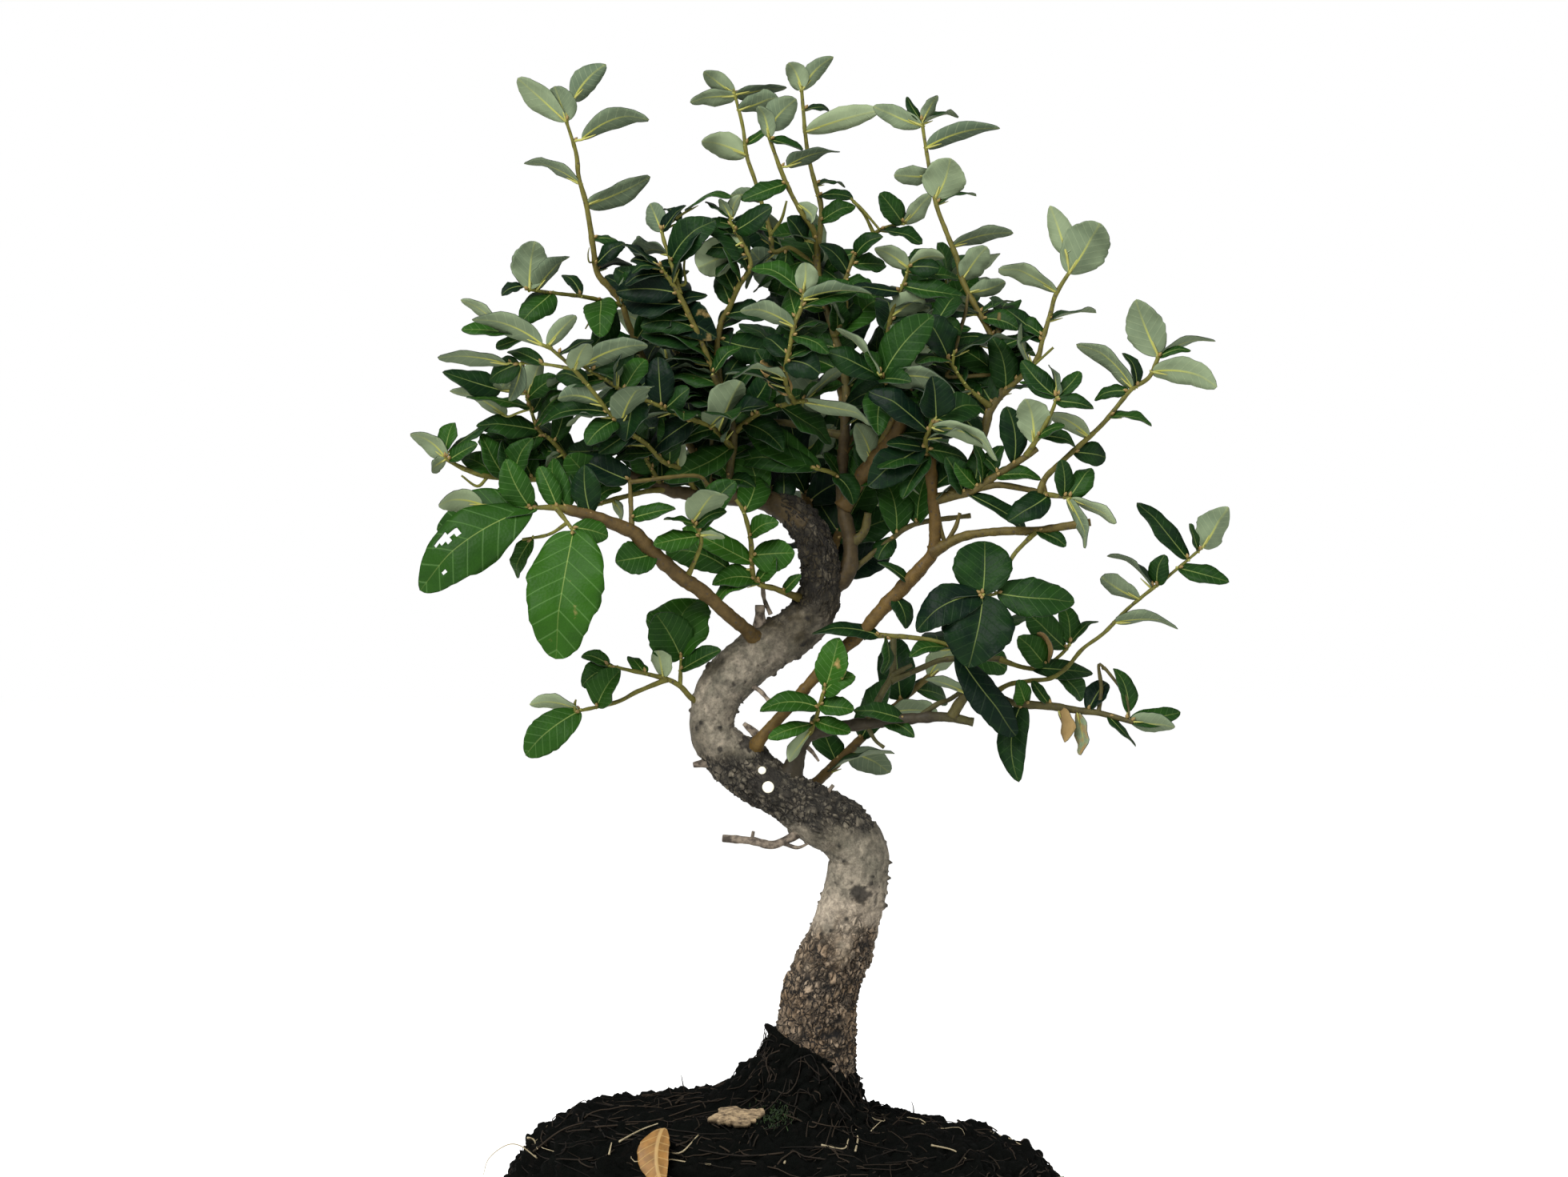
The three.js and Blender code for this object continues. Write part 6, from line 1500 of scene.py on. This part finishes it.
    "shoot_far_right": {"stems": [
        [[96,-38,322,1.8], [98,-37,328,1.7], [105,-34,335,1.6], [115,-31,344,1.5], [121,-30,350,1.4],
         [130,-29,361,1.3], [137,-28,366,1.3], [141,-28,375,1.1]],
    ], "leaves": [
        [130,363,111,379.5,5,-35,4], [131,364,128,375,5,60,-4], [141,375,132,395,14,-75,-3],
        [142,374,161,381,3,-20,4], [141,373,152,377,3,50,-4], [138,368,163,363,9,-60,-8],
        [129,361,116,358,5,55,4], [122,351,138,349.5,3.5,25,-5], [108,338,121,336,8.5,65,5],
        [114,344,98,353,6,-50,-6],
    ]},
    "shoot_right_cluster": {"stems": [
        [[91,-38,336.5,1.5], [95,-41,343,1.3], [100,-42,352,1.1], [103,-43,360,0.9]],
    ], "leaves": [
        [92,342,91,358,12,-70,-4], [96,343,105,348,3.5,30,-6], [97,343,110,341,6,55,4],
        [103,360,101,371,3,-25,-3], [103,360,111,368,6,60,3], [102,357,116,355,6,60,-5],
        [102,359,89,366,4,45,4],
    ]},
    "shoot_right_lower": {"stems": [
        [[97,-38,322,1.5], [105,-40,321,1.2], [109,-41,320,0.9]],
    ], "leaves": [
        [105,322,104,335,7,60,-3], [107,321,115,333,9,65,4], [108,319,125.5,312.5,3,-25,-5],
        [106,320,115,302,4.5,-40,-6], [99,320,84,313,10,65,-6],
    ]},
    "shoot_star": {"stems": [
        [[95,-37,308.5,1.4], [86,-39,299,1.2], [83,-41,291,1.1], [80,-43,285,1], [73,-45,284,0.9]],
    ], "leaves": [
        [73,285,75,305,21,80,5], [73,284,54,283,4,20,6], [73,284,50,272,14,70,-6],
        [73,283,69,258,26,80,-8], [80,284,109,283,15,70,-3],
    ]},
    "shoot_star_low": {"stems": [
        [[30,-21,269,1.9], [38,-22,269,1.5], [50,-25,268,1.4], [60,-27,266,1.2], [66,-28,262,1]],
    ], "leaves": [
        [64,262,88,233,11.5,65,-10], [62,263,47,262,3.5,25,-5], [36,270,11,271,6,50,-6],
        [38,268,39,255,3.5,30,-5],
    ]},
    "shoot_low_right_end": {"stems": [
        [[77,-20,246,1.7], [84,-18,250.5,1.4], [92,-17,252,1.3], [100,-17,253,1.3], [106,-17,257,1.3],
         [112,-18,264,1.2], [120,-19,270,1.2], [130,-20,280,1.1], [145,-21,292,1], [158,-22,303,0.8]],
    ], "leaves": [
        [157,303,165,317,12,-70,4], [151,298,133.5,320,8,60,4], [148,294,167,289,7,55,-6],
        [155,301,152,311,3,40,-4], [138,287,122.5,300.5,2.2,12,5], [140,288,142,299,7,60,-4],
        [133,283,119,291.5,6.5,-55,-5], [124,274,148,274,4.5,-30,-8],
    ]},
    "shoot_low_right_cluster": {"stems": [
        [[81,-9,260,1.5], [90,-11,257,1.3], [97,-9,257,1.2], [104,-6,262,1.1], [108,-4,267,0.9]],
    ], "leaves": [
        [106,264,92,278,11,65,-6], [107,266,105,281,8,60,4], [98,258,89,269,10,65,-4],
        [92,257,116,255,8,60,6], [100,257,113,245,7,60,5], [98,259,97,271,4,-30,-5],
        [108,266,117,276,3,30,5],
    ]},
    "shoot_trunk_front": {"stems": [
        [[9,-11,231,1.6], [12,-19,238,1.3], [14,-24,245,1.2], [16,-25,251,0.9]],
    ], "leaves": [
        [13,242,-9,241,8,60,-5], [16,251,20,268,12,70,-3], [15,247,26,254,8,60,-6],
        [14,243,26,242,7,60,-5], [12,237,25,233,6,55,-4], [10,234,1,222,5,-50,-6], [11,236,-6,231,5,50,-8],
    ]},
}
SHOOT_SIDES = 10
SHOOT_WARMTH = 0.8
# Painted light and shade: how bright the upper faces are, from deep blue-green at 0 to light green at 1,
# low for the shoots in shade inside the crown and high for the lit ones and those the light shines through
SHOOT_LIGHT_AND_SHADE = {
    "shoot_low_left_tip": 0.66, "shoot_trunk_left": 0.6, "shoot_inner_low": 0.7, "shoot_far_left": 0.55,
    "shoot_left_fan": 0.5, "shoot_low_fork": 0.6, "shoot_mid_left": 0.45, "shoot_trunk_front": 0.75,
    "shoot_low_right_cluster": 0.45, "shoot_inner_left": 0.5, "shoot_star": 0.07, "shoot_tuft": 0.1,
    "shoot_orange_top": 0.2, "shoot_inner_top_left": 0.1, "shoot_left_yellow_inner": 0.25,
}
SHOOT_TWIGS = {
    "shoot_top_left": [[[-73, 2, 409, 0.5], [-73.5, 1, 412, 0.4], [-73, 1, 414.5, 0.2]],
                       [[-69, -2, 392.5, 0.7], [-72, -3, 388, 0.6], [-74.5, -4, 384, 0.4]]],
    "shoot_tuft": [[[-37, -12, 401, 0.8], [-37.5, -12, 407, 0.7], [-37, -12, 412, 0.6]]],
    "shoot_top_middle_back": [[[-4, 10, 419, 1.1], [-1, 9, 425, 1.0], [1, 8, 432, 0.7]]],
    "shoot_crown_right": [[[25, 8, 432, 0.9], [30, 7, 428, 0.9], [36, 6, 421, 0.7]]],
    "shoot_far_left": [[[-111, -23, 328, 0.9], [-115, -24, 325, 0.9], [-121, -25, 329, 0.5]]],
    "shoot_trunk_left": [[[-78, -27, 240, 0.9], [-78.5, -26, 243, 0.9], [-78, -26, 245, 0.5]]],
}
# Bites and holes in the big leaf at the far left: where they are seen, and their radii
BITES = [(-134, 296, 1.2), (-128, 293, 1.5), (-127.5, 306, 2.6), (-131, 303, 2.0), (-122, 307.5, 1.6),
         (-138, 303, 3.4)]
BITTEN = "shoot_low_left_tip"
for order, (name, shoot) in enumerate(SHOOTS.items()):
    leaves = limb_leaves(name, shoot, 500 + order)
    holes = []
    if name == BITTEN:
        base, tip = leaves[0][1:3]
        for x, z, radius in BITES:
            share = np.clip(((x - base[0]) * (tip[0] - base[0]) + (z - base[2]) * (tip[2] - base[2]))
                            / ((tip[0] - base[0]) ** 2 + (tip[2] - base[2]) ** 2), 0, 1)
            holes.append((seen([x, base[1] + share * (tip[1] - base[1]), z]), radius))
    grow(name, shoot["stems"], leaves, seen, SHOOT_SIDES, SHOOT_WARMTH, SHOOT_LIGHT_AND_SHADE.get(name, 0.3),
         200 + order, SHOOT_TWIGS.get(name, ()), holes)


# Sprays. The leafy side branches behind the trunk, which the front hides. Each is one stem, with
# its leaves set all the way round it, a golden angle from one to the next, faces to the sky.
SPRAYS = {
    "spray_back_right": [[14,3,293,3.4], [24,24,312,2.8], [40,44,334,2.3], [58,60,356,1.8], [74,70,374,1]],
    "spray_back_left": [
        [3,4,315,3.2], [-12,24,330,2.7], [-30,42,346,2.3], [-50,56,362,1.8], [-66,64,378,1],
    ],
    "spray_back_centre": [[10,4,308,3.2], [8,28,326,2.8], [5,52,346,2.4], [2,74,368,1.8], [0,88,388,1]],
    "spray_back_top": [[23,8,352,2.4], [20,26,374,2.1], [12,42,394,1.8], [6,52,410,1.4], [0,58,424,0.9]],
    "spray_back_upper_left": [
        [-24,-2,322,2.4], [-32,20,344,2.1], [-42,34,366,1.8], [-48,44,386,1.4], [-50,50,402,0.9],
    ],
    "spray_back_upper_right": [
        [22,7,338,2.4], [36,24,356,2.1], [50,36,376,1.8], [60,44,394,1.4], [66,48,410,0.9],
    ],
    "spray_back_low_right": [
        [6,-2,208,3.4], [22,18,222,2.8], [42,34,240,2.3], [64,46,258,1.8], [84,54,272,1],
    ],
    "spray_back_middle": [[14,3,286,3], [18,26,298,2.6], [20,48,314,2.2], [24,68,332,1.7], [30,82,350,1]],
}
SPRAY_LEAVES = 27
LOW_SPRAY_LEAVES = 14
SPRAY_BARE_PART = 0.16
SPRAY_LAST_LEAF = 0.98
SPRAY_LEAF_LENGTH = 27
SPRAY_LEAF_WIDTH = 16
SPRAY_LEAF_LEAN = (0.8, 0.6)
# Painted shade: the sprays behind are painted dark as shade inside the crown, those at the right less so
GOLDEN_ANGLE = 2.39996
SHADED_SPRAY_TONE = 0.1
RIGHT_SPRAY_TONE = 0.4


def spray_leaves(rows, number, rng):
    """Leaves round a stem: each leans away from it and on along it, its size varies by up to three
    tenths, and its upper face looks up and forwards, or backwards for every third, tilted at random."""
    rows = np.array(rows, float)
    fine = spline(rows, 0.5)[:, :3]
    knots = [np.argmin(np.linalg.norm(fine - row[:3], axis=1)) for row in rows]
    leaves = []
    for k in range(number):
        t = SPRAY_BARE_PART + (SPRAY_LAST_LEAF - SPRAY_BARE_PART) * k / (number - 1)
        at = int(round(np.interp(t * (len(rows) - 1), np.arange(len(rows)), knots)))
        along = unit(fine[min(at + 1, len(fine) - 1)] - fine[max(at - 1, 0)])
        level = unit(np.array([along[1], -along[0], 0]))
        over = np.cross(level, along)
        turn = k * GOLDEN_ANGLE
        outwards = level * math.cos(turn) + over * math.sin(turn)
        way = unit(SPRAY_LEAF_LEAN[0] * outwards + SPRAY_LEAF_LEAN[1] * along)
        size = 1 - 0.3 * ((k * 0.37) % 1)
        normal = unit(np.array([0, 0.8 if k % 3 == 2 else -0.9, 0.9]) + rng.normal(0, 0.5, 3))
        normal = unit(normal - way * (normal @ way))
        tip = fine[at] + way * size * SPRAY_LEAF_LENGTH
        leaves.append((fine[at], fine[at], tip, size * SPRAY_LEAF_WIDTH, normal, 0))
    return leaves


for order, (name, rows) in enumerate(SPRAYS.items()):
    number = SPRAY_LEAVES if name != "spray_back_low_right" else LOW_SPRAY_LEAVES
    leaves = spray_leaves(rows, number, np.random.default_rng(600 + order))
    tone_and_shade = RIGHT_SPRAY_TONE if "right" in name else SHADED_SPRAY_TONE
    grow(name, [rows], leaves, np.array, SHOOT_SIDES, SHOOT_WARMTH, tone_and_shade, 300 + order)


# Bark chip. A flake of pale, dry cork bark that has fallen on the soil and lies in front of the trunk.
# It is broken, not cut, so its edge is ragged and its face is fissured along the grain.
CHIP_OUTLINE = [[-27, -33], [-20, -37], [-9, -35], [-8, -29], [-16, -27], [-25, -28]]
CHIP_THICKNESS = 2.4
CHIP_RINGS = 26
CHIP_POINTS = 150


def rest_on_soil(outline):
    """Where a flat thing with this outline lies: its middle, the slopes of the plane that fits the
    soil under it, and that plane's normal. The plane is raised to the soil's higher crumbs."""
    outline = np.array(outline, float)
    middle = outline.mean(0)
    top = soil_grid[:OPEN_ROWS].reshape(-1, 3)
    reach = np.linalg.norm(outline - middle, axis=1).max()
    under = top[np.linalg.norm(top[:, :2] - middle, axis=1) < reach]
    plane = np.column_stack([under[:, :2] - middle, np.ones(len(under))])
    slope = np.linalg.lstsq(plane, under[:, 2], rcond=None)[0]
    normal = unit(np.array([-slope[0], -slope[1], 1]))
    spot = np.array([*middle, slope[2]])
    return spot + normal * np.percentile((under - spot) @ normal, 80), slope[:2], normal


spot, slope, normal = rest_on_soil(CHIP_OUTLINE)
outline = np.vstack([CHIP_OUTLINE, CHIP_OUTLINE[:1]]).astype(float)
length = run_along(outline)
at = np.linspace(0, length[-1], CHIP_POINTS, endpoint=False)
rim = np.stack([np.interp(at, length, outline[:, k]) for k in (0, 1)], -1) - spot[:2]
ragged = 0.3 * noise(np.column_stack([rim, np.zeros(CHIP_POINTS)]), 4, 90)
ragged += 0.16 * noise(np.column_stack([rim, np.zeros(CHIP_POINTS)]), 1.5, 91)
rim *= 0.95 + ragged[:, None]
shares = np.linspace(0.03, 1, CHIP_RINGS)[:, None, None]
face = rim * shares
flat = np.dstack([face, face @ slope]) + spot
grain = flat * [0.4, 1.0, 1.0]
fissures = 0.75 * noise(grain, 1.1, 92) + 0.5 * noise(grain, 3, 93)
thickness = CHIP_THICKNESS * (1 - 0.35 * shares ** 3) + fissures[..., None] * (1 - shares ** 8)
upper = flat + normal * thickness
lower = flat + normal * (0.25 * noise(flat, 2, 94) - 0.3)[..., None]
chip = new_object("bark_chip", *closed_skin(np.vstack([lower, upper[::-1]])), [])

coat = Coat("dry cork flake", roughness=0.85)
fissure = coat.noise(900, 5, 0.7, add(coat.tree, "Mapping", vector=coat.place, scale=(0.35, 1, 1)))
colour = coat.mix(coat.ramp(fissure, 0.35, 0.6), "#413324", "#aa9371")
chip_bark = coat.cover(colour, fissure, 0.9, 0.0006)
chip.data.materials.append(chip_bark)
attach(chip, "root")
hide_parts("bark_chip")


# Fallen leaf. One old oak leaf, dried tan and gold, that lies on the front slope of the soil. It is
# the same kind of blade as on the tree, cupped by drying.
FALLEN_LEAF_OUTLINE = [[-46, -64], [-41, -65], [-38, -59], [-39, -53], [-43, -49], [-47, -54], [-48, -60]]
FALLEN_LEAF_WIDTH = 12.5
FALLEN_LEAF_ENDS = [(-42.5, -49.5), (-42.5, -65)]
FALLEN_LEAF_LIFT = 1.6
spot, slope, normal = rest_on_soil(FALLEN_LEAF_OUTLINE)
base, tip = (np.array([x, y, spot[2] + (np.array([x, y]) - spot[:2]) @ slope]) + normal * FALLEN_LEAF_LIFT
             for x, y in FALLEN_LEAF_ENDS)
coat = Coat("dried oak leaf", roughness=0.6)
vein, rib = vein_lines(coat, 0.1, 0.9)
lines = coat.maths("MAXIMUM", vein, rib)
gold = coat.mix(coat.ramp(coat.noise(260, 4), 0.3, 0.7), "#6b4c20", "#966c33")
colour = coat.mix(coat.maths("MULTIPLY", lines, 0.55), gold, "#bd9f66")
dry_leaf = coat.cover(colour, lines, 0.4, 0.0003)
blade = [(base, base, tip, FALLEN_LEAF_WIDTH, normal)]
sheets, places, _ = leaf_sheets(blade, FINE_GRID, np.random.default_rng(77))
faces = sheet_faces(1, *FINE_GRID, 0).tolist()
fallen = new_object("fallen_leaf", sheets.reshape(-1, 3), faces, [dry_leaf])
lay_veins(fallen, places.reshape(-1, 2))
thick = fallen.modifiers.new("thickness", "SOLIDIFY")
thick.thickness = BLADE_THICKNESS * MM
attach(fallen, "root")
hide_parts("fallen_leaf")
